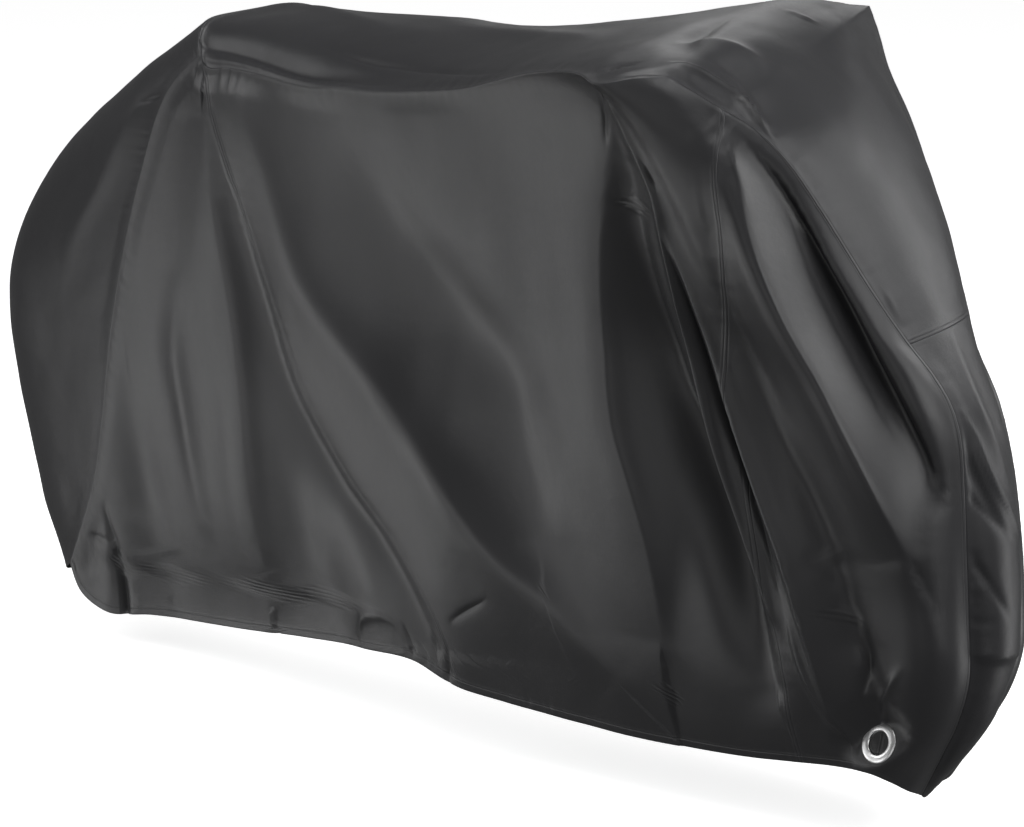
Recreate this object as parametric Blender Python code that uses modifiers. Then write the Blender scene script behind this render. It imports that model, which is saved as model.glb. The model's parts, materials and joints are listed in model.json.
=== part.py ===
"""Bicycle cover: a coated-nylon fitted cover in sewn panels, in the shape it takes over a bicycle.

Sizes are in metres. In the tables x runs forward from the middle of the wheelbase, y is
negative on the near side, and z is the height above the ground. Every piece is then set
down relative to ORIGIN, the middle of the handlebar rest under the cover's top.
"""
import math

import bpy
import numpy as np
from mathutils import Matrix, Vector

# ---------------------------------------------------------------- driving dimensions
ORIGIN = (0.41, 0.0, 1.07)          # handlebar rest, in ground coordinates
CLOTH = 0.0015                      # thickness of the cloth
FLAT_GAP = 0.0008                   # set-back of a panel from a seam it shares with its neighbour
BENT_GAP = 0.0022                   # set-back of a gusset where it turns a corner at a seam

ROWS_TO_CROSS_SEAM = 7              # rows of cloth down a side, to the level of the cross seam
ROWS_TO_CORNER = 9                 # from there to the top of the eyelet corner
ROWS_IN_CORNER = 4                  # and down to the hem
CROSS_SEAM = 0.361                  # level of the cross seam, as a fraction of the front seam
CORNER_TOP = 0.860                  # level of the top of the eyelet corner
REAR_COLUMNS = 7
MIDDLE_COLUMNS = 21
FRONT_COLUMNS = 10
CORNER_COLUMN = 3                   # first column of the front piece that is in the corner
TAIL_COLUMNS = 10
TOP_COLUMNS = 8
NOSE_COLUMNS = 6

EYELET_BORE = 0.034                 # clear bore of an eyelet
EYELET_BARREL = 0.0385              # outside of its barrel
EYELET_RIM = 0.054                  # outside of its flanges
EYELET_LIFT = 0.0004                # clearance between a flange and the cloth
EYELET_FLANGE = 0.0014              # thickness of a flange at its crown
EYELET_SIDES = 24
CLOTH_HOLE = 0.0397                 # hole punched in the cloth for the barrel
FLAT_SPOT = 0.060                   # the cloth is flat across this width round an eyelet
NEAR_EYELET = (0.741, -0.102, 0.160)
NEAR_EYELET_FACES = (-0.10, -0.91, 0.40)
FAR_EYELET = (0.714, 0.110, 0.150)
FAR_EYELET_FACES = (-0.05, 0.95, 0.28)

# ---------------------------------------------------------------- seam tables
# Edge of the near and the far side cloth along the tail seam, from the saddle down to the hem.
TAIL_SEAM = [
    # x,      z,     near,   far
    (-0.464, 0.967, -0.145, 0.145),
    (-0.499, 0.942, -0.145, 0.147),
    (-0.537, 0.901, -0.145, 0.148),
    (-0.598, 0.770, -0.140, 0.145),
    (-0.644, 0.637, -0.135, 0.138),
    (-0.679, 0.507, -0.130, 0.130),
    (-0.710, 0.374, -0.120, 0.122),
    (-0.741, 0.271, -0.110, 0.112),
    (-0.776, 0.198, -0.100, 0.103),
    (-0.825, 0.112, -0.085, 0.090),
]
# Near top seam, from the saddle to the handlebar end and in to the shoulder.
NEAR_TOP_SEAM = [
    # x,      y,      z
    (-0.464, -0.145, 0.967),
    (-0.452, -0.146, 0.953),
    (-0.399, -0.150, 0.956),
    (-0.345, -0.156, 0.956),
    (-0.231, -0.170, 0.952),
    (-0.165, -0.175, 0.958),
    (-0.098, -0.180, 0.962),
    (0.006, -0.190, 0.976),
    (0.100, -0.205, 0.994),
    (0.153, -0.215, 1.010),
    (0.230, -0.235, 1.033),
    (0.328, -0.270, 1.052),
    (0.372, -0.290, 1.055),
    (0.408, -0.305, 1.050),
    (0.459, -0.276, 1.060),
    (0.486, -0.250, 1.059),
    (0.511, -0.235, 1.044),
    (0.549, -0.215, 1.020),
]
FAR_TOP_SEAM = [
    # opposite, x,  y,    z      ("opposite" is the fraction of the near seam it faces)
    (0.000, -0.464, 0.145, 0.965),
    (0.066, -0.400, 0.150, 0.958),
    (0.160, -0.300, 0.160, 0.960),
    (0.283, -0.170, 0.172, 0.970),
    (0.435, -0.015, 0.186, 0.992),
    (0.540, 0.090, 0.203, 1.016),
    (0.656, 0.195, 0.228, 1.042),
    (0.765, 0.290, 0.260, 1.062),
    (0.834, 0.348, 0.281, 1.072),
    (0.900, 0.382, 0.292, 1.077),
    (1.000, 0.416, 0.298, 1.078),
]
# Front seam, from the shoulder down the nose to the corner of the hem.
NEAR_FRONT_SEAM = [
    (0.549, -0.215, 1.020),
    (0.595, -0.200, 0.995),
    (0.639, -0.185, 0.953),
    (0.677, -0.170, 0.899),
    (0.716, -0.155, 0.838),
    (0.742, -0.145, 0.797),
    (0.788, -0.120, 0.724),
    (0.818, -0.105, 0.683),
    (0.839, -0.095, 0.645),
    (0.851, -0.090, 0.606),
    (0.855, -0.082, 0.520),
    (0.856, -0.075, 0.436),
    (0.857, -0.068, 0.350),
    (0.857, -0.062, 0.267),
    (0.837, -0.055, 0.201),
    (0.799, -0.040, 0.135),
    (0.757, -0.022, 0.068),
]
FAR_FRONT_SEAM = [
    # opposite, x,  y,    z
    (0.000, 0.416, 0.298, 1.078),
    (0.050, 0.440, 0.288, 1.044),
    (0.105, 0.467, 0.275, 1.000),
    (0.168, 0.524, 0.249, 0.940),
    (0.236, 0.583, 0.213, 0.874),
    (0.278, 0.638, 0.175, 0.812),
    (0.361, 0.715, 0.119, 0.714),
    (0.408, 0.741, 0.098, 0.674),
    (0.486, 0.790, 0.084, 0.600),
    (0.564, 0.815, 0.080, 0.520),
    (0.642, 0.830, 0.076, 0.432),
    (0.719, 0.838, 0.072, 0.350),
    (0.794, 0.840, 0.068, 0.266),
    (0.857, 0.822, 0.062, 0.203),
    (0.927, 0.786, 0.048, 0.138),
    (1.000, 0.745, 0.026, 0.068),
]
# Hem of each side, from the tail corner to the nose corner.
NEAR_HEM = [
    (-0.825, -0.085, 0.112),
    (-0.805, -0.082, 0.070),
    (-0.749, -0.085, 0.048),
    (-0.656, -0.095, 0.059),
    (-0.474, -0.105, 0.076),
    (-0.312, -0.125, 0.099),
    (-0.170, -0.140, 0.116),
    (-0.058, -0.150, 0.126),
    (0.019, -0.150, 0.105),
    (0.113, -0.140, 0.096),
    (0.226, -0.130, 0.091),
    (0.367, -0.120, 0.089),
    (0.498, -0.112, 0.095),
    (0.600, -0.110, 0.105),
    (0.689, -0.106, 0.114),
    (0.728, -0.102, 0.112),
    (0.752, -0.088, 0.102),
    (0.761, -0.062, 0.086),
    (0.757, -0.022, 0.068),
]
FAR_HEM = [
    (-0.825, 0.090, 0.112),
    (-0.800, 0.088, 0.072),
    (-0.740, 0.092, 0.054),
    (-0.600, 0.105, 0.068),
    (-0.430, 0.120, 0.090),
    (-0.250, 0.140, 0.108),
    (-0.080, 0.150, 0.115),
    (0.080, 0.145, 0.100),
    (0.240, 0.132, 0.068),
    (0.400, 0.120, 0.052),
    (0.540, 0.112, 0.042),
    (0.650, 0.108, 0.048),
    (0.705, 0.100, 0.062),
    (0.738, 0.080, 0.072),
    (0.750, 0.052, 0.072),
    (0.745, 0.026, 0.068),
]
# Where the two upright seams of a side run, as fractions across the side at each height.
UPRIGHT_SEAMS = [
    # down, near rear, near front, far rear, far front
    (0.00, 0.012, 0.988, 0.012, 0.988),
    (0.04, 0.048, 0.962, 0.050, 0.962),
    (0.10, 0.093, 0.923, 0.095, 0.925),
    (0.16, 0.128, 0.897, 0.130, 0.900),
    (0.24, 0.165, 0.870, 0.170, 0.872),
    (0.33, 0.199, 0.829, 0.205, 0.840),
    (0.43, 0.227, 0.784, 0.240, 0.812),
    (0.50, 0.247, 0.771, 0.265, 0.800),
    (0.58, 0.278, 0.781, 0.300, 0.800),
    (0.68, 0.331, 0.796, 0.345, 0.806),
    (0.78, 0.399, 0.809, 0.400, 0.816),
    (0.88, 0.462, 0.835, 0.455, 0.836),
    (1.00, 0.533, 0.874, 0.520, 0.872),
]
# Folds of a side cloth. The line is followed in the side view as rows of x, z and how far
# the cloth stands out there; then the spread towards the tail and towards the nose, and how
# round the crest is (small is sharp).
NEAR_FOLDS = [
    # name, line (x, z, out), tailward, noseward, crest
    ("rear ridge", [(-0.445, 0.880, 0.008), (-0.428, 0.762, 0.016), (-0.402, 0.612, 0.020),
                    (-0.385, 0.465, 0.018), (-0.382, 0.308, 0.014), (-0.377, 0.152, 0.006)],
     0.150, 0.050, 0.7),
    ("seam valley", [(-0.385, 0.767, -0.005), (-0.345, 0.637, -0.010), (-0.286, 0.477, -0.014),
                     (-0.209, 0.378, -0.016), (-0.115, 0.299, -0.015), (-0.045, 0.221, -0.010),
                     (0.010, 0.120, -0.004)], 0.060, 0.040, 0.6),
    ("saddle ridge", [(-0.385, 0.925, 0.006), (-0.299, 0.832, 0.015), (-0.196, 0.660, 0.023),
                      (-0.095, 0.530, 0.028), (0.032, 0.403, 0.030), (0.118, 0.318, 0.028),
                      (0.230, 0.262, 0.020), (0.326, 0.176, 0.008)], 0.160, 0.075, 0.6),
    ("tail strip", [(-0.525, 0.640, 0.000), (-0.525, 0.520, 0.006), (-0.515, 0.400, 0.007),
                    (-0.500, 0.250, 0.003)], 0.040, 0.036, 0.7),
    ("tail hollow", [(-0.640, 0.420, -0.004), (-0.630, 0.280, -0.012), (-0.620, 0.160, -0.008)],
     0.060, 0.070, 1.0),
    ("tail pleat", [(-0.735, 0.240, -0.004), (-0.718, 0.155, -0.024), (-0.712, 0.055, -0.026)],
     0.036, 0.036, 0.6),
    ("rear hollow", [(-0.330, 0.360, -0.004), (-0.270, 0.240, -0.012), (-0.210, 0.110, -0.010)],
     0.060, 0.060, 0.9),
    ("middle hollow", [(-0.230, 0.900, -0.003), (-0.110, 0.770, -0.014), (-0.015, 0.640, -0.022),
                       (0.065, 0.530, -0.024), (0.140, 0.440, -0.020), (0.200, 0.360, -0.006)],
     0.080, 0.140, 0.9),
    ("grip ridge", [(0.395, 1.010, 0.008), (0.352, 0.873, 0.018), (0.336, 0.760, 0.026),
                    (0.335, 0.660, 0.030), (0.348, 0.557, 0.032), (0.378, 0.464, 0.030),
                    (0.400, 0.370, 0.022), (0.408, 0.250, 0.008)], 0.220, 0.050, 0.6),
    ("grip trough", [(0.405, 0.930, -0.008), (0.400, 0.800, -0.020), (0.418, 0.660, -0.034),
                     (0.455, 0.541, -0.046), (0.490, 0.450, -0.050), (0.524, 0.350, -0.038),
                     (0.560, 0.220, -0.012)], 0.040, 0.044, 0.7),
    ("grip fold", [(0.407, 1.040, 0.005), (0.432, 0.970, 0.010), (0.462, 0.900, 0.014),
                   (0.470, 0.820, 0.016), (0.480, 0.710, 0.020), (0.519, 0.550, 0.022),
                   (0.565, 0.430, 0.018), (0.600, 0.330, 0.008)], 0.038, 0.040, 0.6),
    ("seam fold", [(0.473, 0.868, 0.002), (0.497, 0.790, 0.010), (0.518, 0.709, 0.015),
                   (0.545, 0.620, 0.020), (0.590, 0.515, 0.024), (0.630, 0.420, 0.022),
                   (0.665, 0.300, 0.015), (0.690, 0.190, 0.006)], 0.038, 0.050, 0.6),
    ("front hollow", [(0.585, 0.850, -0.004), (0.610, 0.720, -0.012), (0.648, 0.580, -0.020),
                      (0.692, 0.440, -0.020), (0.725, 0.310, -0.008)], 0.040, 0.060, 0.8),
    ("shoulder ridge", [(0.562, 1.008, 0.010), (0.616, 0.912, 0.026), (0.654, 0.830, 0.036),
                        (0.694, 0.740, 0.040), (0.738, 0.640, 0.038), (0.780, 0.540, 0.030),
                        (0.820, 0.440, 0.010)], 0.140, 0.036, 0.6),
    ("shoulder trough", [(0.585, 0.995, -0.010), (0.640, 0.905, -0.026), (0.693, 0.800, -0.036),
                         (0.748, 0.692, -0.038), (0.795, 0.612, -0.032), (0.842, 0.520, -0.014)],
     0.036, 0.036, 0.6),
    ("corner hollow", [(0.700, 0.400, -0.004), (0.735, 0.280, -0.016), (0.765, 0.200, -0.016),
                       (0.780, 0.140, -0.006)], 0.050, 0.040, 0.8),
]
FAR_FOLDS = [
    ("saddle ridge", [(-0.390, 0.905, 0.014), (-0.280, 0.700, 0.030), (-0.150, 0.480, 0.034),
                      (-0.040, 0.300, 0.026), (0.040, 0.110, 0.014)], 0.080, 0.100, 0.9),
    ("saddle crease", [(-0.420, 0.880, -0.008), (-0.350, 0.680, -0.016), (-0.270, 0.500, -0.020),
                       (-0.170, 0.320, -0.018), (-0.120, 0.160, -0.010)], 0.040, 0.035, 0.5),
    ("tail ridge", [(-0.460, 0.880, 0.010), (-0.500, 0.700, 0.022), (-0.540, 0.480, 0.018),
                    (-0.580, 0.250, 0.010)], 0.070, 0.070, 1.0),
    ("tail hollow", [(-0.400, 0.400, -0.006), (-0.380, 0.260, -0.020), (-0.360, 0.130, -0.014)],
     0.070, 0.070, 1.0),
    ("middle hollow", [(-0.020, 0.860, -0.010), (0.040, 0.680, -0.028), (0.110, 0.500, -0.030),
                       (0.150, 0.360, -0.014)], 0.120, 0.110, 1.0),
    ("grip ridge", [(0.385, 1.010, 0.010), (0.330, 0.860, 0.036), (0.300, 0.680, 0.046),
                    (0.290, 0.480, 0.038), (0.310, 0.280, 0.018)], 0.090, 0.080, 0.9),
    ("grip trough", [(0.410, 0.930, -0.010), (0.420, 0.760, -0.030), (0.470, 0.560, -0.046),
                     (0.520, 0.380, -0.040), (0.560, 0.220, -0.016)], 0.070, 0.050, 0.8),
    ("shoulder ridge", [(0.490, 0.930, 0.012), (0.555, 0.790, 0.030), (0.620, 0.620, 0.036),
                        (0.670, 0.440, 0.030), (0.700, 0.270, 0.012)], 0.060, 0.055, 0.8),
    ("shoulder trough", [(0.560, 0.860, -0.010), (0.640, 0.740, -0.026), (0.710, 0.600, -0.030),
                         (0.760, 0.450, -0.018)], 0.045, 0.045, 0.8),
    ("corner hollow", [(0.690, 0.400, -0.004), (0.720, 0.280, -0.020), (0.750, 0.200, -0.020),
                       (0.765, 0.140, -0.006)], 0.060, 0.050, 0.9),
]

# ---------------------------------------------------------------- gusset tables
# Each row is a section from the near edge over the crown to the far edge; "square" is the
# section's exponent: 2 is a round arch, 6 a flat top with upright sides.
TAIL_SECTIONS = [
    # along, crown x, y, z, square
    (0.000, -0.500, 0.000, 1.014, 6.0),
    (0.045, -0.585, 0.000, 0.964, 5.0),
    (0.105, -0.685, 0.000, 0.904, 3.6),
    (0.180, -0.802, 0.000, 0.826, 3.0),
    (0.258, -0.893, 0.002, 0.750, 2.7),
    (0.335, -0.964, 0.004, 0.667, 2.6),
    (0.406, -1.003, 0.004, 0.598, 2.6),
    (0.549, -1.022, 0.002, 0.495, 2.6),
    (0.694, -1.000, 0.000, 0.375, 2.6),
    (0.807, -0.970, -0.002, 0.275, 2.5),
    (0.895, -0.942, -0.002, 0.190, 2.4),
    (0.950, -0.918, 0.000, 0.135, 2.3),
    (1.000, -0.887, 0.000, 0.078, 2.2),
]
# The top panel runs over the saddle and the bars and on down to the cross seam; past 1 the
# fractions are along the front seam.
TOP_SECTIONS = [
    (0.000, -0.500, 0.000, 1.014, 6.0),
    (0.066, -0.420, 0.000, 1.018, 4.5),
    (0.160, -0.300, 0.002, 1.023, 3.4),
    (0.283, -0.170, 0.004, 1.029, 2.8),
    (0.435, 0.000, 0.004, 1.036, 2.5),
    (0.540, 0.110, 0.002, 1.050, 2.4),
    (0.656, 0.230, 0.000, 1.071, 2.4),
    (0.765, 0.335, 0.000, 1.091, 2.6),
    (0.834, 0.410, 0.000, 1.103, 2.8),
    (0.900, 0.455, 0.008, 1.097, 2.6),
    (1.000, 0.520, 0.020, 1.065, 2.4),
    (1.050, 0.558, 0.022, 1.035, 2.3),
    (1.105, 0.600, 0.024, 0.998, 2.2),
    (1.168, 0.652, 0.022, 0.938, 2.2),
    (1.236, 0.702, 0.014, 0.868, 2.2),
    (1.278, 0.730, 0.010, 0.822, 2.2),
    (1.361, 0.782, 0.000, 0.730, 2.2),
]
NOSE_SECTIONS = [
    (0.361, 0.782, 0.000, 0.730, 2.2),
    (0.408, 0.812, 0.000, 0.682, 2.2),
    (0.449, 0.834, 0.000, 0.642, 2.2),
    (0.486, 0.850, 0.000, 0.602, 2.2),
    (0.564, 0.868, 0.000, 0.518, 2.3),
    (0.642, 0.879, 0.000, 0.432, 2.3),
    (0.719, 0.883, 0.000, 0.346, 2.3),
    (0.794, 0.876, 0.000, 0.262, 2.3),
    (0.857, 0.853, 0.000, 0.188, 2.2),
    (0.927, 0.806, 0.000, 0.118, 2.1),
    (1.000, 0.750, 0.000, 0.058, 2.0),
]


# ---------------------------------------------------------------- curves and surfaces
def smooth(edge, width):
    """Rise from 0 to 1 over a width, flat at both ends."""
    t = np.clip(np.asarray(edge, float) / width, 0.0, 1.0)
    return t * t * (3.0 - 2.0 * t)


def through(knots, values, at):
    """Value of a smooth curve through the knots, without overshoot between them."""
    knots = np.asarray(knots, float)
    values = np.asarray(values, float).reshape(len(knots), -1)
    at = np.clip(np.asarray(at, float), knots[0], knots[-1])
    step = np.diff(knots)[:, None]
    slope = np.diff(values, axis=0) / step
    tangent = np.vstack([slope[:1], 0.5 * (slope[:-1] + slope[1:]), slope[-1:]])
    cell = np.clip(np.searchsorted(knots, at, side="right") - 1, 0, len(knots) - 2)
    width = step[cell]
    t = ((at - knots[cell]) / width[..., 0])[..., None]
    return ((2 * t**3 - 3 * t**2 + 1) * values[cell] + (t**3 - 2 * t**2 + t) * width * tangent[cell]
            + (3 * t**2 - 2 * t**3) * values[cell + 1] + (t**3 - t**2) * width * tangent[cell + 1])


class Edge:
    """A seam or hem line, read at fractions of its length or of the seam it faces."""

    def __init__(self, rows, opposite=None):
        rows = np.asarray(rows, float)
        chord = np.linalg.norm(np.diff(rows, axis=0), axis=1)
        knots = np.concatenate([[0.0], np.cumsum(chord)])
        fine = np.linspace(0.0, knots[-1], 400)
        self.points = through(knots, rows, fine)
        step = np.linalg.norm(np.diff(self.points, axis=0), axis=1)
        run = np.concatenate([[0.0], np.cumsum(step)])
        self.length = run[-1]
        if opposite is None:
            self.run = run / run[-1]
        else:
            self.run = np.interp(fine, knots, opposite)

    def at(self, fraction):
        fraction = np.asarray(fraction, float)
        return np.stack([np.interp(fraction, self.run, self.points[:, k]) for k in range(3)], axis=-1)


class Gusset:
    """A strip between a near and a far edge, arched over its crown line."""

    def __init__(self, near, far, sections):
        self.near = near
        self.far = far
        self.rows = np.asarray(sections, float)

    def at(self, along, across):
        """Point at a seam fraction and across the strip, from -1 near to 1 far."""
        along, across = np.broadcast_arrays(np.asarray(along, float), np.asarray(across, float))
        row = through(self.rows[:, 0], self.rows[:, 1:], along)
        near = self.near(along)
        far = self.far(along)
        middle = 0.5 * (near + far)
        arch = 1.0 - np.abs(across) ** row[..., 3]
        flat = middle + (far - near) * 0.5 * across[..., None]
        return flat + (row[..., :3] - middle) * arch[..., None]


def follow(*edges):
    """Read several edges in a row: 0 to 1 is the first, 1 to 2 the second."""
    def at(fraction):
        fraction = np.asarray(fraction, float)
        point = edges[0].at(fraction)
        for number, edge in enumerate(edges[1:], start=1):
            point = np.where((fraction > number)[..., None], edge.at(fraction - number), point)
        return point
    return at


class Side:
    """The cloth of one side: a sheet blended between its four edges, then folded."""

    def __init__(self, tail, top, front, hem, folds, outward):
        self.tail = tail
        self.top = top
        self.front = front
        self.hem = hem
        self.folds = folds
        self.outward = outward

    def flat(self, across, down):
        across = np.asarray(across, float)[..., None]
        down = np.asarray(down, float)[..., None]
        u, v = across[..., 0], down[..., 0]
        corner = [self.top.at(0.0), self.top.at(1.0), self.hem.at(0.0), self.hem.at(1.0)]
        ruled_down = (1 - down) * self.top.at(u) + down * self.hem.at(u)
        ruled_across = (1 - across) * self.tail.at(v) + across * self.front.at(v)
        bilinear = ((1 - across) * (1 - down) * corner[0] + across * (1 - down) * corner[1]
                    + (1 - across) * down * corner[2] + across * down * corner[3])
        return ruled_down + ruled_across - bilinear

    def at(self, across, down):
        point = self.flat(across, down)
        out = fold_height(self.folds, point[..., 0], point[..., 2])
        rim = self.rim(point)
        point[..., 1] += self.outward * out * rim
        return point

    def rim(self, point):
        """How freely the cloth can fold: 0 where it is sewn to a gusset, 1 away from it."""
        nearest = np.full(point.shape[:-1], 10.0)
        for edge in (self.tail, self.top, self.front):
            for mark in edge.points[::8]:
                gap = np.hypot(point[..., 0] - mark[0], point[..., 2] - mark[2])
                nearest = np.minimum(nearest, gap)
        return smooth(nearest - 0.004, 0.06)


def fold_height(folds, x, z):
    """How far the folds lift the cloth at a place in the side view."""
    lift = np.zeros(np.broadcast(x, z).shape)
    for name, line, tailward, noseward, crest in folds:
        line = np.asarray(sorted(line, key=lambda row: row[1]), float)
        path = through(line[:, 1], line[:, [0, 2]], z)
        away = x - path[..., 0]
        reach = np.where(away < 0.0, tailward, noseward)
        ratio = away / reach
        shape = np.exp(-2.2 * (np.sqrt(ratio**2 + crest**2) - crest) * (1.0 + 0.6 * crest))
        low, high = line[0, 1], line[-1, 1]
        ends = smooth(z - low + 0.05, 0.05) * smooth(high + 0.05 - z, 0.05)
        lift = lift + path[..., 1] * shape * ends
    return lift


def cover():
    """The surfaces that the cover is cut from."""
    far_top = np.asarray(FAR_TOP_SEAM, float)
    far_front = np.asarray(FAR_FRONT_SEAM, float)
    near = Side(Edge([(x, near, z) for x, z, near, far in TAIL_SEAM]), Edge(NEAR_TOP_SEAM),
                Edge(NEAR_FRONT_SEAM), Edge(NEAR_HEM), NEAR_FOLDS, -1.0)
    far = Side(Edge([(x, far, z) for x, z, near, far in TAIL_SEAM]),
               Edge(far_top[:, 1:], far_top[:, 0]), Edge(far_front[:, 1:], far_front[:, 0]),
               Edge(FAR_HEM), FAR_FOLDS, 1.0)
    tail = Gusset(near.tail.at, far.tail.at, TAIL_SECTIONS)
    over = Gusset(follow(near.top, near.front), follow(far.top, far.front), TOP_SECTIONS)
    nose = Gusset(near.front.at, far.front.at, NOSE_SECTIONS)
    return {"near": near, "far": far, "tail": tail, "over": over, "nose": nose}


# ---------------------------------------------------------------- building
def material(name, color, metallic, roughness):
    made = bpy.data.materials.new(name)
    made.use_nodes = True
    shader = made.node_tree.nodes["Principled BSDF"]
    shader.inputs["Base Color"].default_value = (*color, 1.0)
    shader.inputs["Metallic"].default_value = metallic
    shader.inputs["Roughness"].default_value = roughness
    return made


def add_object(name, points, faces, collection, look):
    """One mesh object, set down relative to the handlebar rest."""
    mesh = bpy.data.meshes.new(name)
    placed = np.asarray(points, float) - np.asarray(ORIGIN)
    mesh.from_pydata([tuple(point) for point in placed], [], faces)
    mesh.validate()
    made = bpy.data.objects.new(name, mesh)
    collection.objects.link(made)
    made.data.materials.append(look)
    mesh.shade_smooth()
    return made


def thicken(made):
    sheet = made.modifiers.new("cloth", "SOLIDIFY")
    sheet.thickness = CLOTH
    sheet.offset = 0.0
    sheet.use_even_offset = False
    sheet.use_rim = True
    return made


def set_back(grid, rear=0.0, front=0.0, top=0.0, bottom=0.0):
    """Draw a grid's edges in along the cloth, so that it stops short of its seams."""
    grid = grid.copy()
    for edge, inner, gap in ((np.s_[:, 0], np.s_[:, 1], rear), (np.s_[:, -1], np.s_[:, -2], front),
                             (np.s_[0], np.s_[1], top), (np.s_[-1], np.s_[-2], bottom)):
        if gap:
            inward = grid[inner] - grid[edge]
            grid[edge] += inward / np.linalg.norm(inward, axis=-1, keepdims=True) * gap
    return grid


def grid_faces(rows, columns, flip, leave_out=None):
    faces = []
    for row in range(rows - 1):
        for column in range(columns - 1):
            if leave_out is not None and leave_out(row, column):
                continue
            a = row * columns + column
            face = (a, a + 1, a + columns + 1, a + columns)
            faces.append(face[::-1] if flip else face)
    return faces


def panel(name, grid, flip, collection, look, leave_out=None):
    rows, columns = grid.shape[:2]
    faces = grid_faces(rows, columns, flip, leave_out)
    used = sorted({index for face in faces for index in face})
    renumber = {old: new for new, old in enumerate(used)}
    points = grid.reshape(-1, 3)[used]
    faces = [tuple(renumber[index] for index in face) for face in faces]
    return thicken(add_object(name, points, faces, collection, look))


def row_levels():
    """Levels of the rows down a side, from the top seam to the hem."""
    upper = np.linspace(0.0, CROSS_SEAM, ROWS_TO_CROSS_SEAM + 1)
    middle = np.linspace(CROSS_SEAM, CORNER_TOP, ROWS_TO_CORNER + 1)
    lower = np.linspace(CORNER_TOP, 1.0, ROWS_IN_CORNER + 1)
    return np.concatenate([upper, middle[1:], lower[1:]])


def side_grid(side, first, last, columns, levels):
    """Points of a side piece between two upright lines, given as fractions at each level."""
    share = np.linspace(0.0, 1.0, columns + 1)
    across = first[:, None] + (last - first)[:, None] * share
    down = np.broadcast_to(levels[:, None], across.shape)
    return side.at(across, down)


def eyelet_corner(name, grid, centre, faces_along, flip, collection, look):
    """The corner piece: flat round the eyelet, then eased out to the edges of its grid."""
    centre = np.asarray(centre, float)
    normal = np.asarray(faces_along, float)
    normal = normal / np.linalg.norm(normal)
    rim = np.concatenate([grid[0, :-1], grid[:-1, -1], grid[-1, :0:-1], grid[:0:-1, 0]])
    side = np.cross(normal, rim[0] - centre)
    side = side / np.linalg.norm(side)
    ahead = np.cross(side, normal)
    count = len(rim)
    turn = np.unwrap(np.arctan2((rim - centre) @ side, (rim - centre) @ ahead))
    even = np.copysign(math.tau / count, turn[1] - turn[0]) * np.arange(count)
    angle = even + np.mean(turn - even)
    toward = np.cos(angle)[:, None] * ahead + np.sin(angle)[:, None] * side
    hole = centre + toward * CLOTH_HOLE / 2
    flat = centre + toward * FLAT_SPOT / 2
    rings = [hole, flat, 0.45 * flat + 0.55 * rim, rim]
    faces = []
    for ring in range(len(rings) - 1):
        for step in range(count):
            a = ring * count + step
            b = ring * count + (step + 1) % count
            face = (a, b, b + count, a + count)
            faces.append(face if flip else face[::-1])
    return thicken(add_object(name, np.concatenate(rings), faces, collection, look))


def eyelet(name, centre, faces_along, collection, look):
    """A pressed eyelet: two domed flanges on a barrel, turned about its axis."""
    inner = EYELET_BORE / 2
    barrel = EYELET_BARREL / 2
    rim = EYELET_RIM / 2
    under = CLOTH / 2 + EYELET_LIFT
    crown = under + EYELET_FLANGE
    half = [(inner, 0.4 * crown), (inner + 0.0012, crown), (0.5 * (inner + rim), crown + 0.0003),
            (rim - 0.0012, crown), (rim, under + 0.0003), (rim - 0.0005, under), (barrel, under)]
    profile = half + [(radius, -height) for radius, height in reversed(half)]
    mesh = bpy.data.meshes.new(name)
    count = len(profile)
    edges = [(step, (step + 1) % count) for step in range(count)]
    mesh.from_pydata([(radius, 0.0, height) for radius, height in profile], edges, [])
    made = bpy.data.objects.new(name, mesh)
    collection.objects.link(made)
    turn = made.modifiers.new("turn", "SCREW")
    turn.axis = "Z"
    turn.angle = math.tau
    turn.steps = EYELET_SIDES
    turn.render_steps = EYELET_SIDES
    turn.use_merge_vertices = True
    turn.merge_threshold = 0.00001
    turn.use_normal_calculate = True
    mesh.materials.append(look)
    axis = Vector(faces_along).normalized()
    place = Matrix.Translation(Vector(centre) - Vector(ORIGIN))
    made.matrix_world = place @ axis.to_track_quat("Z", "Y").to_matrix().to_4x4()
    return made


def build_side(word, side, seams, eyelet_at, eyelet_faces, flip, collection, looks):
    levels = row_levels()
    seam = through([row[0] for row in UPRIGHT_SEAMS], seams, levels)
    nothing = np.zeros_like(levels)
    whole = np.ones_like(levels)
    rear = side_grid(side, nothing, seam[:, 0], REAR_COLUMNS, levels)
    rear = set_back(rear, rear=FLAT_GAP, front=FLAT_GAP, top=FLAT_GAP)
    panel(word + "_rear_panel", rear, flip, collection, looks["side"])
    middle = side_grid(side, seam[:, 0], seam[:, 1], MIDDLE_COLUMNS, levels)
    middle = set_back(middle, rear=FLAT_GAP, front=FLAT_GAP, top=FLAT_GAP)
    panel(word + "_middle_panel", middle, flip, collection, looks["side"])
    front = side_grid(side, seam[:, 1], whole, FRONT_COLUMNS, levels)
    front = set_back(front, rear=FLAT_GAP, front=FLAT_GAP, top=FLAT_GAP)
    first_row = ROWS_TO_CROSS_SEAM + ROWS_TO_CORNER
    corner = set_back(front[first_row:, CORNER_COLUMN:], rear=2 * FLAT_GAP, top=2 * FLAT_GAP)
    panel(word + "_front_panel", front, flip, collection, looks["side"],
          leave_out=lambda row, column: row >= first_row and column >= CORNER_COLUMN)
    eyelet_corner(word + "_eyelet_corner", corner, eyelet_at, eyelet_faces, flip, collection, looks["side"])
    eyelet(word + "_eyelet", eyelet_at, eyelet_faces, collection, looks["metal"])


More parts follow.
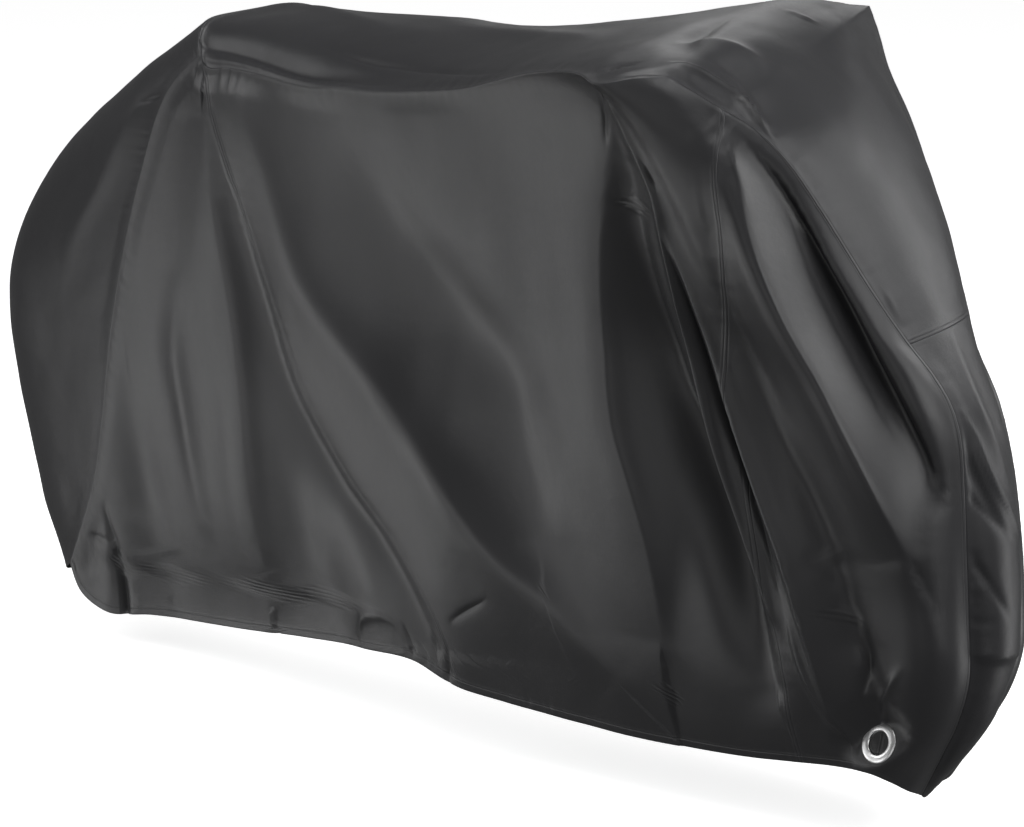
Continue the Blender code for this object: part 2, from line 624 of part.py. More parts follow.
def build_gussets(surfaces, collection, looks):
    levels = row_levels()
    cross = ROWS_TO_CROSS_SEAM
    tail = surfaces["tail"].at(levels[:, None], np.linspace(-1.0, 1.0, TAIL_COLUMNS + 1)[None])
    tail = set_back(tail, rear=BENT_GAP, front=BENT_GAP, top=BENT_GAP)
    panel("tail_gusset", tail, False, collection, looks["gusset"])
    first, last = UPRIGHT_SEAMS[0][1:3]
    along = np.concatenate([[0.0], np.linspace(first, last, MIDDLE_COLUMNS + 1), 1.0 + levels[: cross + 1]])
    top = surfaces["over"].at(along[:, None], np.linspace(-1.0, 1.0, TOP_COLUMNS + 1)[None])
    top = set_back(top, rear=BENT_GAP, front=BENT_GAP, top=BENT_GAP, bottom=FLAT_GAP)
    panel("top_panel", top, True, collection, looks["gusset"])
    nose = surfaces["nose"].at(levels[cross:, None], np.linspace(-1.0, 1.0, NOSE_COLUMNS + 1)[None])
    nose = set_back(nose, rear=BENT_GAP, front=BENT_GAP, top=FLAT_GAP)
    panel("nose_gusset", nose, True, collection, looks["gusset"])


def build():
    for old in list(bpy.data.objects):
        bpy.data.objects.remove(old, do_unlink=True)
    collection = bpy.data.collections.new("bicycle_cover")
    bpy.context.scene.collection.children.link(collection)
    looks = {
        "side": material("side_cloth", (0.045, 0.045, 0.048), 0.0, 0.45),
        "gusset": material("gusset_cloth", (0.050, 0.050, 0.053), 0.0, 0.45),
        "metal": material("eyelet_metal", (0.75, 0.75, 0.77), 1.0, 0.25),
    }
    surfaces = cover()
    near_seams = [row[1:3] for row in UPRIGHT_SEAMS]
    far_seams = [row[3:5] for row in UPRIGHT_SEAMS]
    build_side("near", surfaces["near"], near_seams, NEAR_EYELET, NEAR_EYELET_FACES, False, collection, looks)
    build_side("far", surfaces["far"], far_seams, FAR_EYELET, FAR_EYELET_FACES, True, collection, looks)
    build_gussets(surfaces, collection, looks)


build()
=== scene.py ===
"""Bicycle cover: coated cloth draped over a bicycle, with its seams, stitching, hems and lock eyelets.

The drape is measured in metres from the ground under the middle between the wheels: x runs forward,
y to the far side and z up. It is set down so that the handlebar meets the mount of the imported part.
"""

import json
import math

import bpy
import numpy as np
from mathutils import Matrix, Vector


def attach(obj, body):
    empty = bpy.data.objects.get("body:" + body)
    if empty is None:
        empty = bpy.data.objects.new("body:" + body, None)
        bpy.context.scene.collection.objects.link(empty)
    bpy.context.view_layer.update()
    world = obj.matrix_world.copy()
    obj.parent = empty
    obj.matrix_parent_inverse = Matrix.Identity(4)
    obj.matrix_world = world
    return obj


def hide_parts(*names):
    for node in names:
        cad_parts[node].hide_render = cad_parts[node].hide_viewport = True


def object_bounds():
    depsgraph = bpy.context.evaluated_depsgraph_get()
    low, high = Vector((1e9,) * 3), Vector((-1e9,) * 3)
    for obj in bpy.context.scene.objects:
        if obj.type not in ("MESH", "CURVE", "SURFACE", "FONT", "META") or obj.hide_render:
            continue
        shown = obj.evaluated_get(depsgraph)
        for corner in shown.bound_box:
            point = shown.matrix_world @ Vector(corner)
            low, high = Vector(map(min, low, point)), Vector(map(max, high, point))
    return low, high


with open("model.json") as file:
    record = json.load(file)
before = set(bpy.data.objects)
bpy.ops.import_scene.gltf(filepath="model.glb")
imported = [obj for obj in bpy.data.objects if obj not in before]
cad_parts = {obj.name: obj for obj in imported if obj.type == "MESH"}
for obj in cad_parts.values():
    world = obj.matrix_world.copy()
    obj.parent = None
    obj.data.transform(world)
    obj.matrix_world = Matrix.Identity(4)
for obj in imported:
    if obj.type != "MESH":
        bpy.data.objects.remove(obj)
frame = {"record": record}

bl_info = {
    "name": "Draped bicycle cover",
    "version": (1, 0, 0),
    "blender": (4, 5, 0),
    "location": "3D View > Sidebar > Bicycle Cover",
    "description": "Builds the draped cloth, seams, stitching and lock eyelets of a fitted bicycle cover",
    "category": "Object",
}

CAD_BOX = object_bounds()
BAR_REST = Vector(frame["record"]["mounts"][0]["pos_m"])
HANDLEBAR = Vector((0.41, 0.0, 1.07))          # where the handlebar rests, in drape measures
SET_DOWN = BAR_REST - HANDLEBAR                # from drape measures to the frame

# ---------------------------------------------------------------- seams and hems
TAIL_SEAM = [
    # x,      z,     near,   far
    (-0.464, 0.967, -0.145, 0.145),
    (-0.499, 0.942, -0.145, 0.147),
    (-0.537, 0.901, -0.145, 0.148),
    (-0.598, 0.770, -0.140, 0.145),
    (-0.644, 0.637, -0.135, 0.138),
    (-0.679, 0.507, -0.130, 0.130),
    (-0.710, 0.374, -0.120, 0.122),
    (-0.741, 0.271, -0.110, 0.112),
    (-0.776, 0.198, -0.100, 0.103),
    (-0.825, 0.112, -0.085, 0.090),
]
# Near top seam, from the saddle to the handlebar end and in to the shoulder.
NEAR_TOP_SEAM = [
    # x,      y,      z
    (-0.464, -0.145, 0.967),
    (-0.452, -0.146, 0.953),
    (-0.399, -0.150, 0.956),
    (-0.345, -0.156, 0.956),
    (-0.231, -0.170, 0.952),
    (-0.165, -0.175, 0.958),
    (-0.098, -0.180, 0.962),
    (0.006, -0.190, 0.976),
    (0.100, -0.205, 0.994),
    (0.153, -0.215, 1.010),
    (0.230, -0.235, 1.033),
    (0.328, -0.270, 1.052),
    (0.372, -0.290, 1.055),
    (0.408, -0.305, 1.050),
    (0.459, -0.276, 1.060),
    (0.486, -0.250, 1.059),
    (0.511, -0.235, 1.044),
    (0.549, -0.215, 1.020),
]
FAR_TOP_SEAM = [
    # opposite, x,  y,    z      ("opposite" is the fraction of the near seam it faces)
    (0.000, -0.464, 0.145, 0.965),
    (0.066, -0.400, 0.150, 0.958),
    (0.160, -0.300, 0.160, 0.960),
    (0.283, -0.170, 0.172, 0.970),
    (0.435, -0.015, 0.186, 0.992),
    (0.540, 0.090, 0.203, 1.016),
    (0.656, 0.195, 0.228, 1.042),
    (0.765, 0.290, 0.260, 1.062),
    (0.834, 0.348, 0.281, 1.072),
    (0.900, 0.382, 0.292, 1.077),
    (1.000, 0.416, 0.298, 1.078),
]
# Front seam, from the shoulder down the nose to the corner of the hem.
NEAR_FRONT_SEAM = [
    (0.549, -0.215, 1.020),
    (0.595, -0.200, 0.995),
    (0.639, -0.185, 0.953),
    (0.677, -0.170, 0.899),
    (0.716, -0.155, 0.838),
    (0.742, -0.145, 0.797),
    (0.788, -0.120, 0.724),
    (0.818, -0.105, 0.683),
    (0.839, -0.095, 0.645),
    (0.851, -0.090, 0.606),
    (0.855, -0.082, 0.520),
    (0.856, -0.075, 0.436),
    (0.857, -0.068, 0.350),
    (0.857, -0.062, 0.267),
    (0.837, -0.055, 0.201),
    (0.799, -0.040, 0.135),
    (0.757, -0.022, 0.068),
]
FAR_FRONT_SEAM = [
    # opposite, x,  y,    z
    (0.000, 0.416, 0.298, 1.078),
    (0.050, 0.440, 0.288, 1.044),
    (0.105, 0.467, 0.275, 1.000),
    (0.168, 0.524, 0.249, 0.940),
    (0.236, 0.583, 0.213, 0.874),
    (0.278, 0.638, 0.175, 0.812),
    (0.361, 0.715, 0.119, 0.714),
    (0.408, 0.741, 0.098, 0.674),
    (0.486, 0.790, 0.084, 0.600),
    (0.564, 0.815, 0.080, 0.520),
    (0.642, 0.830, 0.076, 0.432),
    (0.719, 0.838, 0.072, 0.350),
    (0.794, 0.840, 0.068, 0.266),
    (0.857, 0.822, 0.062, 0.203),
    (0.927, 0.786, 0.048, 0.138),
    (1.000, 0.745, 0.026, 0.068),
]
# Hem of each side, from the tail corner to the nose corner.
NEAR_HEM = [
    (-0.825, -0.085, 0.112),
    (-0.805, -0.082, 0.070),
    (-0.749, -0.085, 0.048),
    (-0.656, -0.095, 0.059),
    (-0.474, -0.105, 0.076),
    (-0.312, -0.125, 0.099),
    (-0.170, -0.140, 0.116),
    (-0.058, -0.150, 0.126),
    (0.019, -0.150, 0.105),
    (0.113, -0.140, 0.096),
    (0.226, -0.130, 0.091),
    (0.367, -0.120, 0.089),
    (0.498, -0.112, 0.095),
    (0.600, -0.110, 0.105),
    (0.689, -0.106, 0.114),
    (0.728, -0.102, 0.112),
    (0.752, -0.088, 0.102),
    (0.761, -0.062, 0.086),
    (0.757, -0.022, 0.068),
]
FAR_HEM = [
    (-0.825, 0.090, 0.112),
    (-0.800, 0.088, 0.072),
    (-0.740, 0.092, 0.054),
    (-0.600, 0.105, 0.068),
    (-0.430, 0.120, 0.090),
    (-0.250, 0.140, 0.108),
    (-0.080, 0.150, 0.115),
    (0.080, 0.145, 0.100),
    (0.240, 0.132, 0.068),
    (0.400, 0.120, 0.052),
    (0.540, 0.112, 0.042),
    (0.650, 0.108, 0.048),
    (0.705, 0.100, 0.062),
    (0.738, 0.080, 0.072),
    (0.750, 0.052, 0.072),
    (0.745, 0.026, 0.068),
]
# Where the two upright seams of a side run, as fractions across the side at each height.
UPRIGHT_SEAMS = [
    # down, near rear, near front, far rear, far front
    (0.00, 0.012, 0.988, 0.012, 0.988),
    (0.04, 0.048, 0.962, 0.050, 0.962),
    (0.10, 0.093, 0.923, 0.095, 0.925),
    (0.16, 0.128, 0.897, 0.130, 0.900),
    (0.24, 0.165, 0.870, 0.170, 0.872),
    (0.33, 0.199, 0.829, 0.205, 0.840),
    (0.43, 0.227, 0.784, 0.240, 0.812),
    (0.50, 0.247, 0.771, 0.265, 0.800),
    (0.58, 0.278, 0.781, 0.300, 0.800),
    (0.68, 0.331, 0.796, 0.345, 0.806),
    (0.78, 0.399, 0.809, 0.400, 0.816),
    (0.88, 0.462, 0.835, 0.455, 0.836),
    (1.00, 0.533, 0.874, 0.520, 0.872),
]

# ---------------------------------------------------------------- sections over the crown
# Each row is a section from the near edge over the crown to the far edge; "square" is the
# section's exponent: 2 is a round arch, 6 a flat top with upright sides.
TAIL_SECTIONS = [
    # along, crown x, y, z, square
    (0.000, -0.500, 0.000, 1.014, 6.0),
    (0.045, -0.585, 0.000, 0.964, 4.4),
    (0.105, -0.685, 0.000, 0.904, 3.0),
    (0.180, -0.802, 0.000, 0.826, 2.5),
    (0.258, -0.893, 0.002, 0.750, 2.3),
    (0.335, -0.964, 0.004, 0.667, 2.2),
    (0.406, -1.003, 0.004, 0.598, 2.2),
    (0.549, -1.022, 0.002, 0.495, 2.2),
    (0.694, -1.000, 0.000, 0.375, 2.2),
    (0.807, -0.970, -0.002, 0.275, 2.3),
    (0.895, -0.942, -0.002, 0.190, 2.4),
    (0.950, -0.918, 0.000, 0.135, 2.3),
    (1.000, -0.887, 0.000, 0.078, 2.2),
]
# The top panel runs over the saddle and the bars and on down to the cross seam; past 1 the
# fractions are along the front seam.
CROSS_SEAM = 0.361
TOP_SECTIONS = [
    (0.000, -0.500, 0.000, 1.014, 6.0),
    (0.066, -0.420, 0.000, 1.018, 4.5),
    (0.160, -0.300, 0.002, 1.023, 3.4),
    (0.283, -0.170, 0.004, 1.029, 2.8),
    (0.435, 0.000, 0.004, 1.036, 2.5),
    (0.540, 0.110, 0.002, 1.050, 2.4),
    (0.656, 0.230, 0.000, 1.071, 2.4),
    (0.765, 0.335, 0.000, 1.091, 2.6),
    (0.834, 0.410, 0.000, 1.103, 2.8),
    (0.900, 0.455, 0.008, 1.097, 2.6),
    (1.000, 0.520, 0.020, 1.065, 2.4),
    (1.050, 0.558, 0.022, 1.035, 2.3),
    (1.105, 0.600, 0.024, 0.998, 2.2),
    (1.168, 0.652, 0.022, 0.938, 2.2),
    (1.236, 0.702, 0.014, 0.868, 2.2),
    (1.278, 0.730, 0.010, 0.822, 2.2),
    (1.361, 0.782, 0.000, 0.730, 2.2),
]
NOSE_SECTIONS = [
    (0.361, 0.782, 0.000, 0.730, 2.2),
    (0.408, 0.812, 0.000, 0.682, 2.2),
    (0.449, 0.834, 0.000, 0.642, 2.2),
    (0.486, 0.850, 0.000, 0.602, 2.2),
    (0.564, 0.868, 0.000, 0.518, 2.3),
    (0.642, 0.879, 0.000, 0.432, 2.3),
    (0.719, 0.883, 0.000, 0.346, 2.3),
    (0.794, 0.876, 0.000, 0.262, 2.3),
    (0.857, 0.853, 0.000, 0.188, 2.2),
    (0.927, 0.806, 0.000, 0.118, 2.1),
    (1.000, 0.750, 0.000, 0.058, 2.0),
]

# ---------------------------------------------------------------- folds
# A fold is followed from top to bottom as rows of x, z and how far the cloth stands out
# there; then its reach towards the tail and towards the nose, and how round its crest is
# (small is sharp).
NEAR_FOLDS = [
    # name, line (x, z, out), tailward, noseward, crest
    ("rear ridge", [(-0.445, 0.880, 0.008), (-0.428, 0.762, 0.016), (-0.402, 0.612, 0.020),
                    (-0.385, 0.465, 0.018), (-0.382, 0.308, 0.014), (-0.377, 0.152, 0.006)],
     0.150, 0.050, 0.7),
    ("seam valley", [(-0.385, 0.767, -0.005), (-0.345, 0.637, -0.010), (-0.286, 0.477, -0.014),
                     (-0.209, 0.378, -0.016), (-0.115, 0.299, -0.015), (-0.045, 0.221, -0.010),
                     (0.010, 0.120, -0.004)], 0.060, 0.040, 0.4),
    ("saddle ridge", [(-0.390, 0.935, 0.006), (-0.322, 0.832, 0.016), (-0.238, 0.660, 0.024),
                      (-0.088, 0.530, 0.029), (0.042, 0.403, 0.031), (0.128, 0.322, 0.028),
                      (0.232, 0.258, 0.020), (0.326, 0.176, 0.008)], 0.170, 0.110, 0.15),
    ("tail strip", [(-0.525, 0.640, 0.000), (-0.525, 0.520, 0.006), (-0.515, 0.400, 0.007),
                    (-0.500, 0.250, 0.003)], 0.040, 0.035, 0.7),
    ("tail hollow", [(-0.640, 0.420, -0.004), (-0.630, 0.280, -0.012), (-0.620, 0.160, -0.008)],
     0.060, 0.070, 1.0),
    ("tail pleat", [(-0.728, 0.240, 0.000), (-0.716, 0.155, -0.007), (-0.712, 0.055, -0.012)],
     0.012, 0.016, 0.2),
    ("rear hollow", [(-0.330, 0.360, -0.002), (-0.270, 0.240, -0.006), (-0.210, 0.110, -0.005)],
     0.070, 0.070, 0.9),
    ("middle hollow", [(-0.180, 0.900, -0.005), (-0.080, 0.777, -0.016), (0.035, 0.670, -0.024),
                       (0.135, 0.575, -0.029), (0.162, 0.475, -0.024), (0.195, 0.360, -0.008)],
     0.140, 0.100, 0.7),
    ("low tuck-in", [(-0.740, 0.100, -0.008), (-0.600, 0.085, -0.026), (-0.420, 0.100, -0.028),
                     (-0.260, 0.120, -0.020), (-0.120, 0.135, -0.006)], 0.100, 0.200, 0.6),
    ("grip ridge", [(0.395, 1.010, 0.006), (0.352, 0.873, 0.014), (0.336, 0.760, 0.021),
                    (0.335, 0.660, 0.026), (0.348, 0.557, 0.030), (0.378, 0.464, 0.029),
                    (0.400, 0.370, 0.022), (0.408, 0.250, 0.008)], 0.220, 0.055, 0.3),
    ("grip trough", [(0.407, 0.930, -0.008), (0.404, 0.800, -0.021), (0.428, 0.660, -0.036),
                     (0.472, 0.541, -0.048), (0.512, 0.450, -0.052), (0.548, 0.350, -0.042),
                     (0.588, 0.220, -0.014)], 0.060, 0.030, 0.6),
    ("grip fold", [(0.407, 1.040, 0.005), (0.432, 0.970, 0.010), (0.462, 0.900, 0.014),
                   (0.470, 0.820, 0.016), (0.480, 0.710, 0.020), (0.519, 0.550, 0.022),
                   (0.565, 0.430, 0.018), (0.600, 0.330, 0.008)], 0.022, 0.028, 0.10),
    ("seam fold", [(0.473, 0.868, 0.002), (0.497, 0.790, 0.010), (0.518, 0.709, 0.015),
                   (0.545, 0.620, 0.020), (0.590, 0.515, 0.024), (0.630, 0.420, 0.022),
                   (0.665, 0.300, 0.015), (0.690, 0.190, 0.006)], 0.024, 0.050, 0.15),
    ("front hollow", [(0.560, 0.850, -0.004), (0.580, 0.720, -0.010), (0.622, 0.600, -0.014),
                      (0.690, 0.450, -0.016), (0.724, 0.310, -0.008)], 0.028, 0.060, 0.8),
    ("shoulder ridge", [(0.570, 1.000, 0.016), (0.608, 0.912, 0.042), (0.642, 0.830, 0.055),
                        (0.678, 0.750, 0.061), (0.730, 0.655, 0.059), (0.782, 0.540, 0.046),
                        (0.812, 0.443, 0.016)], 0.100, 0.028, 0.3),
    ("shoulder trough", [(0.585, 0.995, -0.010), (0.640, 0.905, -0.026), (0.693, 0.800, -0.038),
                         (0.748, 0.692, -0.040), (0.795, 0.612, -0.034), (0.842, 0.520, -0.014)],
     0.034, 0.024, 0.5),
    ("corner hollow", [(0.700, 0.400, -0.004), (0.735, 0.280, -0.016), (0.765, 0.200, -0.016),
                       (0.780, 0.140, -0.006)], 0.050, 0.040, 0.8),
]
FAR_FOLDS = [
    ("saddle ridge", [(-0.390, 0.905, 0.014), (-0.280, 0.700, 0.030), (-0.150, 0.480, 0.034),
                      (-0.040, 0.300, 0.026), (0.040, 0.110, 0.014)], 0.080, 0.100, 0.5),
    ("saddle crease", [(-0.420, 0.880, -0.008), (-0.350, 0.680, -0.016), (-0.270, 0.500, -0.020),
                       (-0.170, 0.320, -0.018), (-0.120, 0.160, -0.010)], 0.040, 0.035, 0.4),
    ("tail ridge", [(-0.460, 0.880, 0.010), (-0.500, 0.700, 0.022), (-0.540, 0.480, 0.018),
                    (-0.580, 0.250, 0.010)], 0.070, 0.070, 0.9),
    ("tail hollow", [(-0.400, 0.400, -0.006), (-0.380, 0.260, -0.020), (-0.360, 0.130, -0.014)],
     0.070, 0.070, 1.0),
    ("middle hollow", [(-0.020, 0.860, -0.010), (0.040, 0.680, -0.028), (0.110, 0.500, -0.030),
                       (0.150, 0.360, -0.014)], 0.120, 0.110, 1.0),
    ("grip ridge", [(0.385, 1.010, 0.010), (0.330, 0.860, 0.036), (0.300, 0.680, 0.046),
                    (0.290, 0.480, 0.038), (0.310, 0.280, 0.018)], 0.090, 0.080, 0.7),
    ("grip trough", [(0.410, 0.930, -0.010), (0.420, 0.760, -0.030), (0.470, 0.560, -0.046),
                     (0.520, 0.380, -0.040), (0.560, 0.220, -0.016)], 0.070, 0.045, 0.6),
    ("shoulder ridge", [(0.490, 0.930, 0.012), (0.555, 0.790, 0.030), (0.620, 0.620, 0.036),
                        (0.670, 0.440, 0.030), (0.700, 0.270, 0.012)], 0.060, 0.055, 0.5),
    ("shoulder trough", [(0.560, 0.860, -0.010), (0.640, 0.740, -0.026), (0.710, 0.600, -0.030),
                         (0.760, 0.450, -0.018)], 0.035, 0.035, 0.5),
    ("corner hollow", [(0.690, 0.400, -0.004), (0.720, 0.280, -0.020), (0.750, 0.200, -0.020),
                       (0.765, 0.140, -0.006)], 0.050, 0.040, 0.8),
]
# Smaller creases and tucks, laid over the main folds.
NEAR_CREASES = [
    ("slit", [(0.466, 0.860, 0.000), (0.486, 0.775, -0.006), (0.502, 0.690, -0.010), (0.532, 0.590, -0.014),
              (0.568, 0.500, -0.014), (0.600, 0.415, -0.006), (0.620, 0.350, 0.000)], 0.007, 0.008, 0.15),
    ("grip pull", [(0.396, 1.040, 0.000), (0.386, 1.000, -0.003), (0.372, 0.945, 0.000)], 0.007, 0.010, 0.3),
    ("grip hook", [(0.450, 0.948, 0.000), (0.462, 0.925, -0.004), (0.474, 0.906, 0.000)], 0.005, 0.006, 0.15),
    ("shoulder line", [(0.552, 1.006, 0.000), (0.575, 0.980, 0.003), (0.604, 0.930, 0.003),
                       (0.620, 0.890, 0.000)], 0.005, 0.008, 0.2),
    ("pocket crease", [(0.114, 0.257, 0.000), (0.070, 0.232, -0.004), (0.029, 0.204, 0.000)],
     0.006, 0.010, 0.1),
    ("low tuck", [(-0.070, 0.180, 0.000), (-0.060, 0.155, -0.004), (-0.050, 0.130, 0.000)],
     0.007, 0.008, 0.2),
    ("second tuck", [(-0.010, 0.180, 0.000), (-0.008, 0.155, -0.003), (-0.006, 0.128, 0.000)],
     0.006, 0.007, 0.2),
    ("hem tuck", [(0.024, 0.162, 0.000), (0.019, 0.135, -0.005), (0.014, 0.100, 0.000)], 0.008, 0.009, 0.2),
    ("wedge", [(-0.080, 0.170, 0.000), (-0.108, 0.181, 0.003), (-0.156, 0.169, 0.005),
               (-0.176, 0.140, 0.002)], 0.012, 0.014, 0.3),
    ("corner fold", [(0.630, 0.360, 0.000), (0.640, 0.290, 0.006), (0.660, 0.235, 0.009),
                     (0.684, 0.190, 0.008), (0.706, 0.150, 0.003), (0.718, 0.120, 0.000)], 0.014, 0.020, 0.2),
    ("corner crease", [(0.800, 0.290, 0.000), (0.772, 0.250, 0.005), (0.748, 0.212, 0.006),
                       (0.730, 0.186, 0.000)], 0.012, 0.014, 0.25),
    ("corner tuck", [(0.742, 0.330, 0.000), (0.736, 0.270, -0.004), (0.722, 0.215, -0.003),
                     (0.716, 0.190, 0.000)], 0.009, 0.010, 0.3),
    ("tail crease", [(-0.768, 0.176, 0.000), (-0.745, 0.170, -0.003), (-0.722, 0.160, 0.000)],
     0.006, 0.006, 0.2),
]
FAR_CREASES = [
    ("grip hook", [(0.440, 0.950, 0.000), (0.452, 0.915, -0.004), (0.466, 0.880, 0.000)], 0.006, 0.008, 0.2),
    ("corner fold", [(0.600, 0.340, 0.000), (0.625, 0.270, 0.007), (0.655, 0.210, 0.007),
                     (0.690, 0.150, 0.000)], 0.014, 0.020, 0.2),
    ("low tuck", [(-0.140, 0.230, 0.000), (-0.125, 0.180, -0.005), (-0.110, 0.130, 0.000)],
     0.010, 0.012, 0.2),
]
# Folds of the gussets: rows of the way along the crown from the piece's start, the way across
# from it (near is negative) and the lift; then the reach on either hand and the crest.
TOP_FOLDS = [
    ("saddle valley", [(0.010, -0.142, -0.004), (0.125, -0.153, -0.010), (0.246, -0.172, -0.010),
                       (0.349, -0.182, -0.005), (0.450, -0.190, 0.000)], 0.012, 0.035, 0.4),
    ("saddle roll", [(0.030, -0.164, 0.002), (0.136, -0.172, 0.005), (0.255, -0.188, 0.004),
                     (0.360, -0.198, 0.000)], 0.008, 0.008, 0.4),
    ("sag crease", [(0.240, -0.112, 0.000), (0.322, -0.138, -0.003), (0.432, -0.150, -0.003),
                    (0.549, -0.169, -0.003), (0.704, -0.215, 0.000)], 0.008, 0.014, 0.2),
    ("sag fold", [(0.300, 0.020, 0.000), (0.460, -0.010, 0.005), (0.620, -0.050, 0.006),
                  (0.760, -0.110, 0.000)], 0.040, 0.050, 0.7),
    ("saddle fold", [(0.030, 0.060, 0.003), (0.120, 0.020, 0.006), (0.230, -0.020, 0.004),
                     (0.330, -0.050, 0.000)], 0.035, 0.030, 0.6),
    ("shoulder edge", [(0.958, -0.242, 0.000), (0.985, -0.226, 0.007), (1.018, -0.210, 0.010),
                       (1.050, -0.210, 0.011), (1.082, -0.217, 0.008), (1.115, -0.222, 0.000)],
     0.012, 0.005, 0.15),
    ("shoulder shade", [(0.975, -0.200, 0.000), (1.006, -0.182, -0.004), (1.037, -0.188, -0.005),
                        (1.075, -0.204, -0.003), (1.105, -0.212, 0.000)], 0.010, 0.045, 0.3),
    ("shoulder flap", [(0.976, -0.238, 0.000), (0.998, -0.246, 0.004), (1.030, -0.238, 0.003),
                       (1.050, -0.230, 0.000)], 0.006, 0.007, 0.2),
    ("shoulder patch", [(0.925, -0.172, 0.000), (0.955, -0.150, 0.009), (0.985, -0.130, 0.010),
                        (1.024, -0.107, 0.000)], 0.055, 0.020, 0.7),
    ("shoulder crescent", [(0.972, -0.222, 0.000), (0.945, -0.168, -0.006), (0.924, -0.090, -0.007),
                           (0.912, -0.010, 0.000)], 0.018, 0.028, 0.5),
    ("grip tuck", [(0.885, -0.296, 0.000), (0.908, -0.272, -0.004), (0.935, -0.250, 0.000)],
     0.005, 0.007, 0.2),
    ("second grip tuck", [(0.930, -0.296, 0.000), (0.952, -0.281, -0.005), (0.978, -0.266, 0.000)],
     0.005, 0.007, 0.2),
    ("brow", [(1.000, 0.180, 0.000), (1.050, 0.100, 0.002), (1.095, 0.030, 0.003), (1.145, -0.054, 0.002),
              (1.240, -0.110, 0.000)], 0.045, 0.050, 0.9),
    ("brow line", [(0.950, 0.066, 0.000), (0.982, 0.071, 0.003), (1.010, 0.072, 0.000)], 0.004, 0.006, 0.2),
    ("cross bump", [(1.375, -0.138, 0.000), (1.405, -0.134, 0.003), (1.436, -0.130, 0.000)],
     0.007, 0.010, 0.4),
]
TAIL_FOLDS = [
    ("tail tuck", [(0.215, -0.232, 0.000), (0.240, -0.214, -0.003), (0.275, -0.192, 0.000)],
     0.006, 0.009, 0.2),
    ("tail roll", [(0.120, -0.150, 0.000), (0.300, -0.200, 0.004), (0.520, -0.260, 0.005),
                   (0.760, -0.230, 0.000)], 0.040, 0.050, 0.8),
]
NOSE_FOLDS = [
    ("streak", [(0.012, -0.034, 0.001), (0.100, -0.044, 0.004), (0.190, -0.018, 0.003),
                (0.270, 0.012, 0.000)], 0.018, 0.022, 0.5),
    ("nose line", [(0.105, -0.086, 0.000), (0.160, -0.064, 0.004), (0.208, -0.044, 0.005),
                   (0.262, -0.006, 0.004), (0.336, 0.053, 0.000)], 0.006, 0.016, 0.15),
    ("nose wedge", [(0.120, -0.098, 0.000), (0.180, -0.078, -0.006), (0.236, -0.052, -0.006),
                    (0.300, -0.008, 0.000)], 0.022, 0.009, 0.3),
    ("nose fold", [(0.218, -0.090, 0.000), (0.240, -0.072, -0.004), (0.279, -0.029, -0.003),
                   (0.310, 0.005, 0.000)], 0.007, 0.010, 0.2),
    ("second nose fold", [(0.305, -0.086, 0.000), (0.335, -0.064, -0.004), (0.382, -0.031, -0.003),
                          (0.420, 0.000, 0.000)], 0.007, 0.010, 0.2),
    ("knee", [(0.455, -0.074, 0.002), (0.462, -0.020, 0.005), (0.470, 0.030, 0.004), (0.474, 0.070, 0.000)],
     0.010, 0.050, 0.3),
    ("low nose fold", [(0.560, -0.066, 0.000), (0.610, -0.052, -0.004), (0.670, -0.036, 0.000)],
     0.008, 0.010, 0.2),
]

# ---------------------------------------------------------------- sewing
# Relief of the cloth beside its edges: distance from the edge and lift, in millimetres.
PLAIN_EDGE = [(0.0, 0.0), (0.8, 0.20), (1.8, 0.35), (3.2, 0.30), (6.0, 0.10), (9.0, 0.0)]
STITCHED_EDGE = [(0.0, 0.0), (0.8, 0.35), (1.8, 0.5), (3.4, 0.5), (4.6, 0.35), (5.4, -0.15), (6.2, 0.30),
                 (7.2, 0.35), (8.4, 0.25), (9.2, 0.05), (12.0, 0.0)]
HEM_EDGE = [(0.0, -0.4), (0.8, 0.1), (2.0, 0.3), (6.0, 0.3), (10.0, 0.35), (11.4, 0.3), (12.2, -0.15),
            (13.0, 0.2), (14.2, 0.15), (15.2, 0.0), (18.0, 0.0)]
STITCH_ROW = 5                                 # place of the stitched groove in STITCHED_EDGE
HEM_STITCH_ROW = 6                             # and in HEM_EDGE
STITCHED_LENGTH = slice(6, -12)                # rows of a side's grid that its upright seams are sewn over
BAND_SHARE = 0.40                              # the most of a line that the rows beside one edge take up
MILLIMETRE = 0.001
WORN_REACH = 0.016                             # the cloth is rubbed this far in from its edges
FOLD_START = 0.003                             # a side's folds start this far from a gusset's seam
CREASE_START = 0.002                           # and creases this far from any
CREASE_HOLD = 0.012                            # they grow to their full lift over this much more
GUSSET_HOLD = 0.030                            # and the unevenness of a gusset over this much
TOP_GATHERS = 0.7                              # share of the pucker height at a side's top seam
GUSSET_GATHERS = 1.5                           # and at a gusset's edges

# ---------------------------------------------------------------- unevenness
HANG = (1.0, 1.0, 0.45)                        # the swells of the hanging sides are drawn out upright
LIE = (0.7, 1.0, 0.7)                          # and those of the gussets along their crown
SWELL_SIZE = 0.13
GUSSET_SWELL_SIZE = 0.12
RIPPLE_SIZE = 0.045
GATHER_LENGTHS = (0.0125, 0.019, 0.031)        # from gather to gather along a seam
SIDE_SEEDS = {"near": (3, 5, 1), "far": (8, 9, 11)}    # swell, ripple and first piece's gathers

# ---------------------------------------------------------------- fineness
SIDE_DROP = 0.93                               # drop of the side cloth that its rows are counted for
SPARE_ROWS = 12
SIDE_SAMPLES = 220                             # places across a piece at which it is measured first
CROWN_SAMPLES = 500                            # places along a gusset
SECTION_SAMPLES = 401                          # and across it, with one on its crown
LINE_SAMPLES = 400                             # places along a seam or hem
FOLD_SAMPLES = 48                              # places along a fold
SETTLE_TURNS = 4                               # rounds in which a side's rows and lines settle


